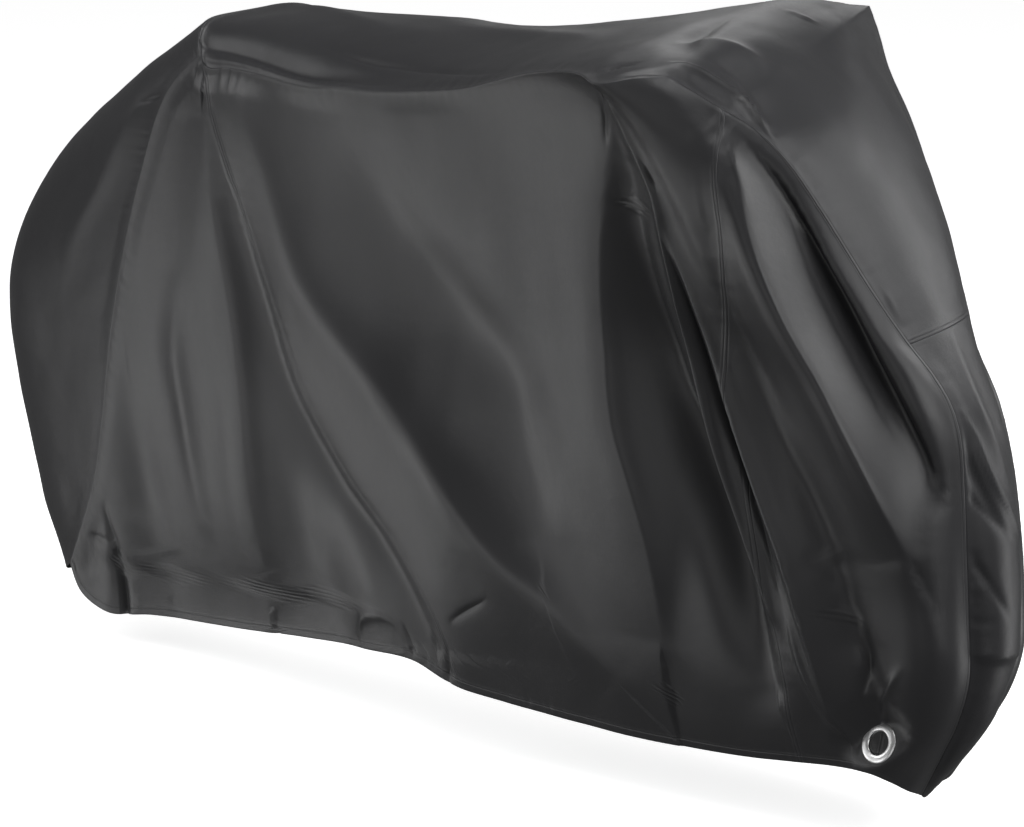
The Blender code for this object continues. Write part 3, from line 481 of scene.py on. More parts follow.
# ---------------------------------------------------------------- curves and surfaces
def smooth(edge, width):
    """Rise from 0 to 1 over a width, flat at both ends."""
    t = np.clip(np.asarray(edge, float) / width, 0.0, 1.0)
    return t * t * (3.0 - 2.0 * t)


def through(knots, values, at):
    """Value of a smooth curve through the knots, flat beyond the last ones."""
    knots = np.asarray(knots, float)
    values = np.asarray(values, float).reshape(len(knots), -1)
    at = np.clip(np.asarray(at, float), knots[0], knots[-1])
    step = np.diff(knots)[:, None]
    slope = np.diff(values, axis=0) / step
    tangent = np.vstack([slope[:1], 0.5 * (slope[:-1] + slope[1:]), slope[-1:]])
    cell = np.clip(np.searchsorted(knots, at, side="right") - 1, 0, len(knots) - 2)
    width = step[cell]
    t = ((at - knots[cell]) / width[..., 0])[..., None]
    return ((2 * t**3 - 3 * t**2 + 1) * values[cell] + (t**3 - 2 * t**2 + t) * width * tangent[cell]
            + (3 * t**2 - 2 * t**3) * values[cell + 1] + (t**3 - t**2) * width * tangent[cell + 1])


def run_along(points, axis=0):
    """Distance run along a line of points."""
    step = np.linalg.norm(np.diff(points, axis=axis), axis=-1)
    start = np.zeros_like(np.take(step, [0], axis=axis))
    return np.concatenate([start, np.cumsum(step, axis=axis)], axis=axis)


class Edge:
    """A seam or hem line, read at fractions of its length or of the seam it faces."""

    def __init__(self, rows, opposite=None):
        rows = np.asarray(rows, float)
        knots = run_along(rows)
        fine = np.linspace(0.0, knots[-1], LINE_SAMPLES)
        self.points = through(knots, rows, fine)
        run = run_along(self.points)
        self.run = run / run[-1] if opposite is None else np.interp(fine, knots, opposite)

    def at(self, fraction):
        """Point on the line at a fraction."""
        fraction = np.asarray(fraction, float)
        return np.stack([np.interp(fraction, self.run, self.points[:, k]) for k in range(3)], axis=-1)


class Gusset:
    """A strip between a near and a far edge, arched over its crown line."""

    def __init__(self, near, far, sections, outward):
        self.near = near
        self.far = far
        self.rows = np.asarray(sections, float)
        self.outward = outward

    def at(self, along, across):
        """Point at a seam fraction and across the strip, from -1 near to 1 far."""
        along, across = np.broadcast_arrays(np.asarray(along, float), np.asarray(across, float))
        row = through(self.rows[:, 0], self.rows[:, 1:], along)
        near = self.near(along)
        far = self.far(along)
        middle = 0.5 * (near + far)
        arch = 1.0 - np.abs(across) ** row[..., 3]
        flat = middle + (far - near) * 0.5 * across[..., None]
        return flat + (row[..., :3] - middle) * arch[..., None]


def follow(*edges):
    """Read several edges in a row: 0 to 1 is the first, 1 to 2 the second."""
    def at(fraction):
        fraction = np.asarray(fraction, float)
        point = edges[0].at(fraction)
        for number, edge in enumerate(edges[1:], start=1):
            point = np.where((fraction > number)[..., None], edge.at(fraction - number), point)
        return point
    return at


class Side:
    """The cloth of one side: a sheet blended between its four edges, then folded."""

    def __init__(self, tail, top, front, hem, folds, creases, outward):
        self.tail = tail
        self.top = top
        self.front = front
        self.hem = hem
        self.folds = folds
        self.creases = creases
        self.outward = outward

    def height(self, across):
        """Length of the cloth from the top seam to the hem."""
        return np.linalg.norm(self.top.at(across) - self.hem.at(across), axis=-1)

    def flat(self, across, down):
        """Point of the side before it is folded, at fractions across and down it."""
        u = np.asarray(across, float)[..., None]
        v = np.asarray(down, float)[..., None]
        ruled_down = (1 - v) * self.top.at(u[..., 0]) + v * self.hem.at(u[..., 0])
        ruled_across = (1 - u) * self.tail.at(v[..., 0]) + u * self.front.at(v[..., 0])
        corners = ((1 - u) * (1 - v) * self.top.at(0.0) + u * (1 - v) * self.top.at(1.0)
                   + (1 - u) * v * self.hem.at(0.0) + u * v * self.hem.at(1.0))
        return ruled_down + ruled_across - corners

    def from_seams(self, x, z):
        """Distance in the side view from the seams to the gussets."""
        nearest = np.full(np.shape(x), 10.0)
        for edge in (self.tail, self.top, self.front):
            for mark in edge.points[::8]:
                nearest = np.minimum(nearest, np.hypot(x - mark[0], z - mark[2]))
        return nearest


def fold_line(rows):
    """A fold's rows as a smooth path of fine steps, with its directions, slope of lift and step."""
    rows = np.asarray(rows, float)
    knots = run_along(rows[:, :2])
    path = through(knots, rows, np.linspace(0.0, knots[-1], FOLD_SAMPLES))
    way = np.gradient(path[:, :2], axis=0)
    step = np.linalg.norm(way, axis=1)
    slope = np.gradient(path[:, 2]) / step
    return path, way / step[:, None], slope, step.mean()


def from_fold(path, way, step, a, b):
    """Signed distance from a fold's path, the nearest step of it and how far past that step."""
    gap_a = a[:, None] - path[None, :, 0]
    gap_b = b[:, None] - path[None, :, 1]
    nearest = np.argmin(gap_a**2 + gap_b**2, axis=1)
    row = np.arange(len(a))
    gap_a = gap_a[row, nearest]
    gap_b = gap_b[row, nearest]
    way = way[nearest]
    low = np.where(nearest == 0, 0.0, -0.5 * step)
    high = np.where(nearest == len(path) - 1, 0.0, 0.5 * step)
    on = np.clip(gap_a * way[:, 0] + gap_b * way[:, 1], low, high)
    gap_a = gap_a - on * way[:, 0]
    gap_b = gap_b - on * way[:, 1]
    side = np.sign(way[:, 0] * gap_b - way[:, 1] * gap_a)
    return np.hypot(gap_a, gap_b) * side, nearest, on


def fold_lift(folds, a, b):
    """How far the folds lift the cloth at places given in two measures."""
    fall = 2.2                                 # how fast a fold dies out within its reach
    lift = np.zeros(a.size)
    flat_a, flat_b = a.ravel(), b.ravel()
    for _, rows, before, after, crest in folds:
        path, way, slope, step = fold_line(rows)
        reach = 3.0 * max(before, after)
        near = ((flat_a > path[:, 0].min() - reach) & (flat_a < path[:, 0].max() + reach)
                & (flat_b > path[:, 1].min() - reach) & (flat_b < path[:, 1].max() + reach))
        away, nearest, on = from_fold(path, way, step, flat_a[near], flat_b[near])
        ratio = away / np.where(away < 0.0, before, after)
        shape = np.exp(-fall * (np.sqrt(ratio**2 + crest**2) - crest) * (1.0 + 0.6 * crest))
        lift[near] += (path[nearest, 2] + slope[nearest] * on) * shape
    return lift.reshape(a.shape)


def sharpness(folds, a, b):
    """How much finer the weave of faces has to be near the sharp folds."""
    finer, within = 3.0, 0.018
    soft_crest, wide_reach = 0.45, 0.02
    need = np.ones(a.size)
    flat_a, flat_b = a.ravel(), b.ravel()
    for _, rows, before, after, crest in folds:
        if crest > soft_crest and min(before, after) > wide_reach:
            continue
        path, way, _, step = fold_line(rows)
        away = np.abs(from_fold(path, way, step, flat_a, flat_b)[0])
        need += finer * np.exp(-(away / within) ** 2)
    return need.reshape(a.shape)


def swell(places, size, seed):
    """A smooth uneven swell between about -1 and 1, of a given size."""
    count = 20                                 # random values along each axis, before they repeat
    stretch = 1.4                              # makes up for what the blend between them takes off
    table = np.random.RandomState(seed).uniform(-1.0, 1.0, (count, count, count))
    at = np.asarray(places, float) / size
    cell = np.floor(at).astype(int)
    part = at - cell
    part = part**3 * (part * (6.0 * part - 15.0) + 10.0)
    total = 0.0
    for corner in range(8):
        step = np.array([corner & 1, corner >> 1 & 1, corner >> 2 & 1])
        weight = np.prod(np.where(step == 1, part, 1.0 - part), axis=-1)
        pick = (cell + step) % count
        total = total + weight * table[pick[..., 0], pick[..., 1], pick[..., 2]]
    return total * stretch


def puckers(run, away, seed):
    """Small gathers across a seam, strongest a few millimetres from it."""
    reach, start, patch = 0.022, 0.008, 0.08
    wave = 0.0
    for number, length in enumerate(GATHER_LENGTHS):
        wave = wave + np.sin(math.tau * run / length + seed * 1.7 + number * 2.1)
    place = np.stack([run, np.zeros_like(run) + seed, np.zeros_like(run)], axis=-1)
    uneven = 0.55 + 0.45 * swell(place, patch, seed)
    return wave / len(GATHER_LENGTHS) * uneven * np.exp(-away / reach) * smooth(away, start)


def cover():
    """The surfaces that the cover is cut from."""
    far_top = np.asarray(FAR_TOP_SEAM, float)
    far_front = np.asarray(FAR_FRONT_SEAM, float)
    near = Side(Edge([(x, near, z) for x, z, near, _ in TAIL_SEAM]), Edge(NEAR_TOP_SEAM),
                Edge(NEAR_FRONT_SEAM), Edge(NEAR_HEM), NEAR_FOLDS, NEAR_CREASES, -1.0)
    far = Side(Edge([(x, far, z) for x, z, _, far in TAIL_SEAM]),
               Edge(far_top[:, 1:], far_top[:, 0]), Edge(far_front[:, 1:], far_front[:, 0]),
               Edge(FAR_HEM), FAR_FOLDS, FAR_CREASES, 1.0)
    tail = Gusset(near.tail.at, far.tail.at, TAIL_SECTIONS, 1.0)
    over = Gusset(follow(near.top, near.front), follow(far.top, far.front), TOP_SECTIONS, -1.0)
    nose = Gusset(near.front.at, far.front.at, NOSE_SECTIONS, -1.0)
    return {"near": near, "far": far, "tail": tail, "over": over, "nose": nose}


COVER = cover()


# ---------------------------------------------------------------- sheets
def relief(rows, away):
    """Lift beside an edge at a distance from it."""
    rows = np.asarray(rows) * MILLIMETRE
    return np.interp(away, rows[:, 0], rows[:, 1], right=0.0)


def band(rows):
    """Distances from an edge at which the cloth's faces change."""
    return np.array([row[0] for row in rows]) * MILLIMETRE


def spaced(length, count, start, end, need=None):
    """Distances along a line: a band of set distances at each end, the rest where it is needed."""
    fit = min(1.0, BAND_SHARE * length / max(start[-1], end[-1]))
    first = start * fit
    last = length - end[::-1] * fit
    inner = count - len(first) - len(last)
    share = np.linspace(0.0, 1.0, inner + 2)[1:-1]
    if need is None:
        middle = first[-1] + (last[0] - first[-1]) * share
    else:
        run, amount = need
        total = np.concatenate([[0.0], np.cumsum(0.5 * (amount[1:] + amount[:-1]) * np.diff(run))])
        low, high = np.interp([first[-1], last[0]], run, total)
        middle = np.interp(low + (high - low) * share, total, run)
    return np.concatenate([first, middle, last])


class Sheet:
    """The grid of one piece of cloth: its points, cloth map, worn edges, stitched lines and hole."""

    def __init__(self, grid, spread, wear, flip):
        self.grid = grid
        self.spread = spread
        self.wear = wear
        self.flip = flip
        self.stitches = []
        self.hole = None


def grid_normals(grid):
    """Unit normals of a grid of points."""
    ahead = np.gradient(grid, axis=1)
    down = np.gradient(grid, axis=0)
    normal = np.cross(ahead, down)
    return normal / np.maximum(np.linalg.norm(normal, axis=-1, keepdims=True), 1e-12)


def side_rows(height, rows):
    """Fractions down a side of the rows of its grid, at places where it is this high."""
    top = band(PLAIN_EDGE)
    hem = band(HEM_EDGE)
    height = np.asarray(height, float)
    out = np.empty(height.shape)
    inner = rows - len(top) - len(hem)
    for row in range(rows):
        tall = height[row]
        if row < len(top):
            out[row] = top[row] / tall
        elif row >= rows - len(hem):
            out[row] = 1.0 - hem[rows - 1 - row] / tall
        else:
            share = (row - len(top) + 1) / (inner + 1)
            low = top[-1] / tall
            high = 1.0 - hem[-1] / tall
            out[row] = low + (high - low) * share
    return out


def settle_rows(side, across_at, rows, columns):
    """Rows and places across for lines given as a function of the way down."""
    down = np.broadcast_to(np.linspace(0.0, 1.0, rows)[:, None], (rows, columns))
    for _ in range(SETTLE_TURNS):
        down = side_rows(side.height(across_at(down)), rows)
    return across_at(down), down


# For each piece of a side, its edges towards the tail and towards the nose: what the rows of
# faces beside them follow, then the relief that is sewn there.
SIDE_EDGES = {
    "rear": ((PLAIN_EDGE, PLAIN_EDGE), (STITCHED_EDGE, PLAIN_EDGE)),
    "middle": ((STITCHED_EDGE, STITCHED_EDGE), (STITCHED_EDGE, STITCHED_EDGE)),
    "front": ((PLAIN_EDGE, STITCHED_EDGE), (PLAIN_EDGE, STITCHED_EDGE)),
}


def side_lines(hand, piece):
    """The two lines that a piece of a side lies between, as fractions across for each way down."""
    table = np.asarray(UPRIGHT_SEAMS, float)
    columns = table[:, 1:3] if hand == "near" else table[:, 3:5]

    def seam(number):
        return lambda down: through(table[:, 0], columns[:, number], down)[..., 0]

    return {"rear": (np.zeros_like, seam(0)), "middle": (seam(0), seam(1)),
            "front": (seam(1), np.ones_like)}[piece]


def side_places(side, lines, first_band, last_band, cell):
    """Fractions across and down a side, and distances across, for the points of a piece's grid."""
    rows = int(SIDE_DROP / cell) + SPARE_ROWS
    share = np.linspace(0.0, 1.0, SIDE_SAMPLES)[None]

    def between(down):
        first, last = lines[0](down), lines[1](down)
        return first + (last - first) * share

    across, down = settle_rows(side, between, rows, SIDE_SAMPLES)
    # the outer lines are settled on their own, so that neighbours share them exactly
    for place, line in ((0, lines[0]), (-1, lines[1])):
        edge_across, edge_down = settle_rows(side, line, rows, 1)
        across[:, place], down[:, place] = edge_across[:, 0], edge_down[:, 0]
    flat = side.flat(across, down)
    run = run_along(flat, axis=1)
    need = sharpness(side.folds + side.creases, flat[..., 0], flat[..., 2])
    # a row less than halfway down, where most folds are sharp, sets how many columns there are
    finer = min(need[int(rows * 0.4)].mean(), 1.6)
    count = int(run[:, -1].max() / cell * finer) + len(first_band) + len(last_band)
    places = np.stack([spaced(run[row, -1], count, first_band, last_band, (run[row], need[row]))
                       for row in range(rows)])
    u, v = (np.stack([np.interp(places[row], run[row], part[row]) for row in range(rows)])
            for part in (across, down))
    return u, v, places, run[:, -1:]


def side_sheet(hand, piece, cell, cloth):
    """The grid of one piece of a side: rear, middle or front."""
    side = COVER[hand]
    edges, reliefs = SIDE_EDGES[piece]
    first_band, last_band = (band(edge) for edge in edges)
    u, v, places, wide = side_places(side, side_lines(hand, piece), first_band, last_band, cell)
    grid = side.flat(u, v)
    x, z = grid[..., 0], grid[..., 2]
    from_seams = side.from_seams(x, z)
    free = smooth(from_seams - FOLD_START, cloth.seam_hold)
    lift = fold_lift(side.folds, x, z) * free
    lift += fold_lift(side.creases, x, z) * smooth(from_seams - CREASE_START, CREASE_HOLD)
    # unevenness of hanging cloth: long soft swells, shorter ripples
    hanging = grid * np.array(HANG)
    swell_seed, ripple_seed, first_seed = SIDE_SEEDS[hand]
    lift += cloth.swell_height * swell(hanging, SWELL_SIZE, swell_seed) * free
    lift += cloth.ripple_height * swell(hanging, RIPPLE_SIZE, ripple_seed) * free
    # sewing
    fit = np.minimum(1.0, BAND_SHARE * wide / max(first_band[-1], last_band[-1]))
    from_first = places / fit
    from_last = (wide - places) / fit
    tall = side.height(u)
    from_top = v * tall
    from_hem = (1.0 - v) * tall
    sewn = relief(reliefs[0], from_first) * fit + relief(reliefs[1], from_last) * fit
    sewn = sewn * smooth(from_top, 0.006) + relief(PLAIN_EDGE, from_top) + relief(HEM_EDGE, from_hem)
    seed = first_seed + list(SIDE_EDGES).index(piece)
    gather = puckers(from_top, from_first, seed) + puckers(from_top, from_last, seed + 1)
    gather = cloth.pucker_height * fit * gather
    gather += TOP_GATHERS * cloth.pucker_height * puckers(x, from_top, seed + 30)
    gather += cloth.pucker_height * puckers(x, from_hem, seed + 50)
    ends = np.minimum(smooth(from_first, 0.002), smooth(from_last, 0.002))
    grid[..., 1] += side.outward * (lift + sewn * cloth.seam_relief + gather * ends)
    edge = np.minimum(np.minimum(from_first * fit, from_last * fit), np.minimum(from_top, from_hem))
    sheet = Sheet(grid, np.stack([x, z], axis=-1), 1.0 - smooth(edge, WORN_REACH), hand == "far")
    for stitched, column in zip(edges, (STITCH_ROW, grid.shape[1] - 1 - STITCH_ROW)):
        if stitched is STITCHED_EDGE:
            sheet.stitches.append(grid[STITCHED_LENGTH, column])
    sheet.stitches.append(grid[-1 - HEM_STITCH_ROW, :])
    return sheet


# For each gusset: its surface, where it starts and ends along it, its folds, its two end edges and
# the seed of its unevenness.
GUSSETS = {
    "tail_gusset": ("tail", 0.0, 1.0, TAIL_FOLDS, PLAIN_EDGE, HEM_EDGE, 61),
    "top_panel": ("over", 0.0, 1.0 + CROSS_SEAM, TOP_FOLDS, STITCHED_EDGE, STITCHED_EDGE, 62),
    "nose_gusset": ("nose", CROSS_SEAM, 1.0, NOSE_FOLDS, PLAIN_EDGE, HEM_EDGE, 63),
}


def gusset_sheet(name, cell, cloth):
    """The grid of one gusset or the top panel."""
    kind, start, end, folds, first_rows, last_rows, seed = GUSSETS[name]
    surface = COVER[kind]
    fine = np.linspace(start, end, CROWN_SAMPLES)
    run = run_along(surface.at(fine, np.zeros_like(fine)))
    rows = int(run[-1] / cell) + len(first_rows) + len(last_rows)
    way = spaced(run[-1], rows, band(first_rows), band(last_rows))
    along = np.interp(way, run, fine)
    # samples across lie closer together near the two seams, where the section turns down
    sample = np.sin(np.linspace(-1.0, 1.0, SECTION_SAMPLES) * math.pi / 2)
    girth = run_along(surface.at(along[:, None], sample[None]), axis=1)
    wide = girth[:, -1:]
    edge_band = band(PLAIN_EDGE)
    columns = int(wide.max() / cell) + 2 * len(edge_band)
    place = np.stack([spaced(row[-1], columns, edge_band, edge_band) for row in girth])
    across = np.stack([np.interp(place[row], girth[row], sample) for row in range(rows)])
    grid = surface.at(along[:, None], across)
    normal = grid_normals(grid) * surface.outward
    a = np.broadcast_to(way[:, None], across.shape)
    c = place - girth[:, SECTION_SAMPLES // 2][:, None]
    edge = np.minimum(place, wide - place)
    ends = np.minimum(way, run[-1] - way)[:, None] + 0.0 * place
    free = smooth(edge - CREASE_START, GUSSET_HOLD)
    lift = fold_lift(folds, a, c) * smooth(edge - CREASE_START, CREASE_HOLD)
    swells = swell(grid * np.array(LIE), GUSSET_SWELL_SIZE, seed)
    lift += cloth.swell_height * swells * free * smooth(ends, 0.05)
    lift += cloth.ripple_height * swell(grid, RIPPLE_SIZE, seed + 4) * free * smooth(ends, 0.03)
    sewn = relief(PLAIN_EDGE, edge) * smooth(ends, 0.004)
    sewn += (relief(first_rows, a) + relief(last_rows, run[-1] - a)) * smooth(edge, 0.004)
    gather = GUSSET_GATHERS * cloth.pucker_height * puckers(a, edge, seed + 7) * smooth(ends, 0.01)
    grid = grid + normal * (lift + sewn * cloth.seam_relief + gather)[..., None]
    wear = 1.0 - smooth(np.minimum(edge, ends), WORN_REACH)
    sheet = Sheet(grid, np.stack([a, c], axis=-1), wear, kind != "tail")
    if first_rows is STITCHED_EDGE:
        sheet.stitches.append(grid[STITCH_ROW, 3:-3])
    last_groove = rows - 1 - (STITCH_ROW if last_rows is STITCHED_EDGE else HEM_STITCH_ROW)
    sheet.stitches.append(grid[last_groove, 3:-3])
    return sheet


def punch(sheet, centre, faces_along, eyelet):
    """Lays a sheet flat round an eyelet and opens the hole for its barrel."""
    flat_reach, hole_slack, rim_width, depth = 0.045, 0.0006, 0.004, 0.03
    centre = np.asarray(centre, float)
    normal = np.asarray(faces_along, float)
    normal = normal / np.linalg.norm(normal)
    gap = sheet.grid - centre
    height = gap @ normal
    level = gap - height[..., None] * normal
    radius = np.linalg.norm(level, axis=-1)
    hold = 1.0 - smooth(np.linalg.norm(gap, axis=-1) - 0.5 * eyelet.rim - 0.002, flat_reach)
    rows, columns = np.indices(radius.shape)
    free = np.minimum(rows, radius.shape[0] - 1 - rows) * np.minimum(columns, radius.shape[1] - 1 - columns)
    hold = hold * smooth(free, 8.0)
    sheet.grid = sheet.grid - (height * hold)[..., None] * normal
    hole = 0.5 * eyelet.barrel + hole_slack
    inside = (radius < hole) & (np.abs(height) < depth)
    rim = (radius >= hole) & (radius < hole + rim_width) & (np.abs(height) < depth)
    snapped = centre + level / np.maximum(radius, 1e-9)[..., None] * hole
    sheet.grid = np.where(rim[..., None], snapped, sheet.grid)
    sheet.hole = inside


# ---------------------------------------------------------------- meshes
def mesh_piece(name, points, faces, material):
    """A smooth piece made from points in drape measures, set down in the frame."""
    mesh = bpy.data.meshes.new(name)
    placed = np.asarray(points, float) + np.asarray(SET_DOWN)
    mesh.vertices.add(len(placed))
    mesh.vertices.foreach_set("co", placed.astype(np.float32).ravel())
    faces = np.asarray(faces, int)
    mesh.loops.add(faces.size)
    mesh.loops.foreach_set("vertex_index", faces.astype(np.int32).ravel())
    mesh.polygons.add(len(faces))
    mesh.polygons.foreach_set("loop_start", np.arange(0, faces.size, faces.shape[1], dtype=np.int32))
    mesh.update(calc_edges=True)
    mesh.validate()
    mesh.shade_smooth()
    mesh.materials.append(material)
    made = bpy.data.objects.new(name, mesh)
    bpy.context.scene.collection.objects.link(made)
    return made


def sheet_piece(sheet, name, thickness, material):
    """A sheet as an object: its faces, cloth map and worn edges, given the cloth's thickness."""
    rows, columns = sheet.grid.shape[:2]
    index = np.arange(rows * columns).reshape(rows, columns)
    corners = np.stack([index[:-1, :-1], index[:-1, 1:], index[1:, 1:], index[1:, :-1]], axis=-1)
    corners = corners.reshape(-1, 4)
    if sheet.flip:
        corners = corners[:, ::-1]
    if sheet.hole is not None:
        corners = corners[~sheet.hole.ravel()[corners].any(axis=1)]
    used = np.unique(corners)
    renumber = np.full(rows * columns, -1)
    renumber[used] = np.arange(len(used))
    corners = renumber[corners]
    made = mesh_piece(name, sheet.grid.reshape(-1, 3)[used], corners, material)
    mesh = made.data
    layer = mesh.uv_layers.new(name="cloth")
    loops = np.empty(len(mesh.loops), dtype=np.int32)
    mesh.loops.foreach_get("vertex_index", loops)
    spread = sheet.spread.reshape(-1, 2)[used][loops]
    layer.uv.foreach_set("vector", spread.astype(np.float32).ravel())
    worn = mesh.attributes.new("worn", "FLOAT", "POINT")
    worn.data.foreach_set("value", sheet.wear.ravel()[used].astype(np.float32))
    shell = made.modifiers.new("cloth thickness", "SOLIDIFY")
    shell.thickness = thickness
    shell.offset = -1.0
    shell.use_even_offset = False
    return made


# ---------------------------------------------------------------- shading
class Wire:
    """A node socket that stands in a Python expression and adds the Math nodes it needs."""

    def __init__(self, nodes, socket):
        self.nodes = nodes
        self.socket = socket

    def maths(self, operation, *values, clamp=False):
        """A Math node on these values."""
        settings = {"operation": operation, "use_clamp": clamp}
        return self.nodes.node("ShaderNodeMath", settings, dict(enumerate(values)))

    def __add__(self, other):
        return self.maths("ADD", self, other)

    __radd__ = __add__

    def __sub__(self, other):
        return self.maths("SUBTRACT", self, other)

    def __rsub__(self, other):
        return self.maths("SUBTRACT", other, self)

    def __mul__(self, other):
        return self.maths("MULTIPLY", self, other)

    __rmul__ = __mul__

    def sine(self):
        return self.maths("SINE", self)

    def held(self):
        """The value held between 0 and 1."""
        return self.maths("ADD", self, 0.0, clamp=True)

    def output(self, number):
        """Another output of the same node."""
        return Wire(self.nodes, self.socket.node.outputs[number])


class Nodes:
    """A node tree, and the one way in which a node is added to it."""

    def __init__(self, tree):
        self.tree = tree

    def node(self, kind, settings=None, sockets=None, out=0):
        """Adds a node, makes its settings, fills its sockets and gives one of its outputs."""
        made = self.tree.nodes.new(kind)
        for key, value in (settings or {}).items():
            setattr(made, key, value)
        for key, value in (sockets or {}).items():
            self.join(made.inputs[key], value)
        return Wire(self, made.outputs[out])

    def join(self, socket, value):
        """Links a socket to a wire, or sets it to a value."""
        if isinstance(value, Wire):
            self.tree.links.new(value.socket, socket)
        else:
            socket.default_value = value


class Look(Nodes):
    """A material and the nodes that make it."""

    def __init__(self, name):
        self.material = bpy.data.materials.new(name)
        self.material.use_nodes = True
        super().__init__(self.material.node_tree)
        self.shader = self.tree.nodes["Principled BSDF"]

    def set(self, **values):
        """Fills sockets of the shader, with _ for a space in their names."""
        for key, value in values.items():
            self.join(self.shader.inputs[key.replace("_", " ")], value)

    def noise(self, size, detail=2.0, roughness=0.5):
        """Noise whose largest patches have this size."""
        where = self.node("ShaderNodeTexCoord", out="Object")
        sockets = {"Vector": where, "Scale": 1.0 / size, "Detail": detail, "Roughness": roughness}
        return self.node("ShaderNodeTexNoise", {}, sockets)

    def blend(self, amount, one, two):
        """A mix of two colours."""
        settings = {"data_type": "RGBA", "blend_type": "MIX"}
        return self.node("ShaderNodeMix", settings, {"Factor": amount, "A": one, "B": two}, out=2)


def shade(color, factor):
    """A colour made lighter or darker."""
    return tuple(min(1.0, channel * factor) for channel in color[:3]) + (1.0,)


def cloth_look(name, color, gloss, cloth):
    """Coated woven cloth: a fine plain weave under a satin coat, paler where it is worn."""
    look = Look(name)
    across = look.node("ShaderNodeSeparateXYZ", {}, {0: look.node("ShaderNodeUVMap", {"uv_map": "cloth"})})
    down = across.output(1)
    turns = math.tau / cloth.weave
    weave = (across * turns).sine() * (down * turns).sine()
    broad = look.noise(0.30, 2.0)
    fine = look.noise(0.012, 3.0, 0.6)
    worn = look.node("ShaderNodeAttribute", {"attribute_name": "worn"}, out=2)
    tone = look.blend(broad, shade(color, 0.82), shade(color, 1.18))
    rubbed = (worn * fine * 0.55).held()
    look.set(Base_Color=look.blend(rubbed, tone, shade(color, 1.7)))
    look.set(Roughness=cloth.roughness + (broad - 0.5) * 0.10 + (fine - 0.5) * 0.06)
    look.set(IOR=1.5, Specular_IOR_Level=gloss)
    weave_height, grain_height = 0.00005, 0.0005
    height = weave * weave_height + fine * grain_height
    look.set(Normal=look.node("ShaderNodeBump", {}, {"Strength": 0.5, "Distance": 1.0, "Height": height}))
    return look.material


def thread_look(name, color):
    """Twisted polyester thread."""
    look = Look(name)
    twist = look.noise(0.0012, 1.0)
    look.set(Base_Color=look.blend(twist, shade(color, 0.7), shade(color, 1.3)), Roughness=0.6)
    return look.material


def metal_look(name, color):
    """Polished plated metal with a few rubbed patches."""
    look = Look(name)
    rub = look.noise(0.010, 3.0)
    look.set(Base_Color=look.blend(rub, shade(color, 1.0), shade(color, 1.1)), Metallic=1.0,
             Roughness=0.24 + rub * 0.12)
    return look.material


def floor_look(name, color, glow):
    """Plain pale paper that is lit evenly from below."""
    look = Look(name)
    fibre = look.noise(0.02, 2.0)
    look.set(Base_Color=look.blend(fibre, shade(color, 0.98), shade(color, 1.0)), Roughness=0.9,
             Specular_IOR_Level=0.1, Emission_Color=color, Emission_Strength=glow)
    return look.material


# ---------------------------------------------------------------- sizes and colours
def length_setting(name, note, default, low, high):
    """A length that the sidebar shows."""
    return bpy.props.FloatProperty(name=name, description=note, default=default, min=low, max=high,
                                   precision=4, unit="LENGTH")


def factor_setting(name, note, default, low=0.0, high=1.0):
    """A factor that the sidebar shows."""
    return bpy.props.FloatProperty(name=name, description=note, default=default, min=low, max=high,
                                   subtype="FACTOR")


def color_setting(name, note, default):
    """A colour that the sidebar shows."""
    return bpy.props.FloatVectorProperty(name=name, description=note, default=default, min=0.0, max=1.0,
                                         subtype="COLOR", size=3)


class CoverCloth(bpy.types.PropertyGroup):
    """Sizes and colours of the cloth."""

    thickness: length_setting("Thickness", "Thickness of the cloth", 0.0007, 0.0002, 0.003)
    cell: length_setting("Fineness", "Size of the near cloth's faces", 0.0064, 0.003, 0.03)
    far_cell: length_setting("Far fineness", "Size of the far cloth's faces", 0.0075, 0.003, 0.03)
    seam_hold: length_setting("Seam hold", "How far from a gusset seam the folds begin", 0.035, 0.01, 0.1)
    seam_relief: factor_setting("Seam relief", "How strongly seams and hems stand out", 1.0, high=2.0)
    pucker_height: length_setting("Pucker height", "Height of the gathers along seams", 0.0012, 0.0, 0.004)
    swell_height: length_setting("Swell height", "Height of the long soft unevenness", 0.0030, 0.0, 0.01)
    ripple_height: length_setting("Ripple height", "Height of the short unevenness", 0.0005, 0.0, 0.004)
    weave: length_setting("Weave", "Pitch of the weave", 0.0009, 0.0003, 0.003)
    roughness: factor_setting("Roughness", "Roughness of the coat", 0.32, 0.1, 0.9)
    side_gloss: factor_setting("Side gloss", "Strength of the side cloth's shine", 0.5)
    gusset_gloss: factor_setting("Gusset gloss", "Strength of the gusset cloth's shine", 0.32)
    side_color: color_setting("Side cloth", "Colour of the side cloth", (0.030, 0.030, 0.032))
    gusset_color: color_setting("Gusset cloth", "Colour of the gusset cloth", (0.030, 0.030, 0.032))


class CoverSewing(bpy.types.PropertyGroup):
    """Sizes and colour of the stitching."""

    pitch: length_setting("Stitch pitch", "Distance from stitch to stitch", 0.0045, 0.002, 0.01)
    length: length_setting("Stitch length", "Length of the thread that shows", 0.0034, 0.001, 0.01)
    width: length_setting("Thread width", "Thickness of the thread", 0.0008, 0.0003, 0.002)
    color: color_setting("Thread", "Colour of the thread", (0.012, 0.012, 0.013))


class CoverEyelets(bpy.types.PropertyGroup):
    """Sizes and colour of the eyelets."""

    bore: length_setting("Bore", "Clear bore of an eyelet", 0.033, 0.01, 0.05)
    barrel: length_setting("Barrel", "Outside of the barrel", 0.0385, 0.01, 0.06)
    rim: length_setting("Rim", "Outside of the flanges", 0.057, 0.02, 0.08)
    color: color_setting("Metal", "Colour of the metal", (0.86, 0.86, 0.86))


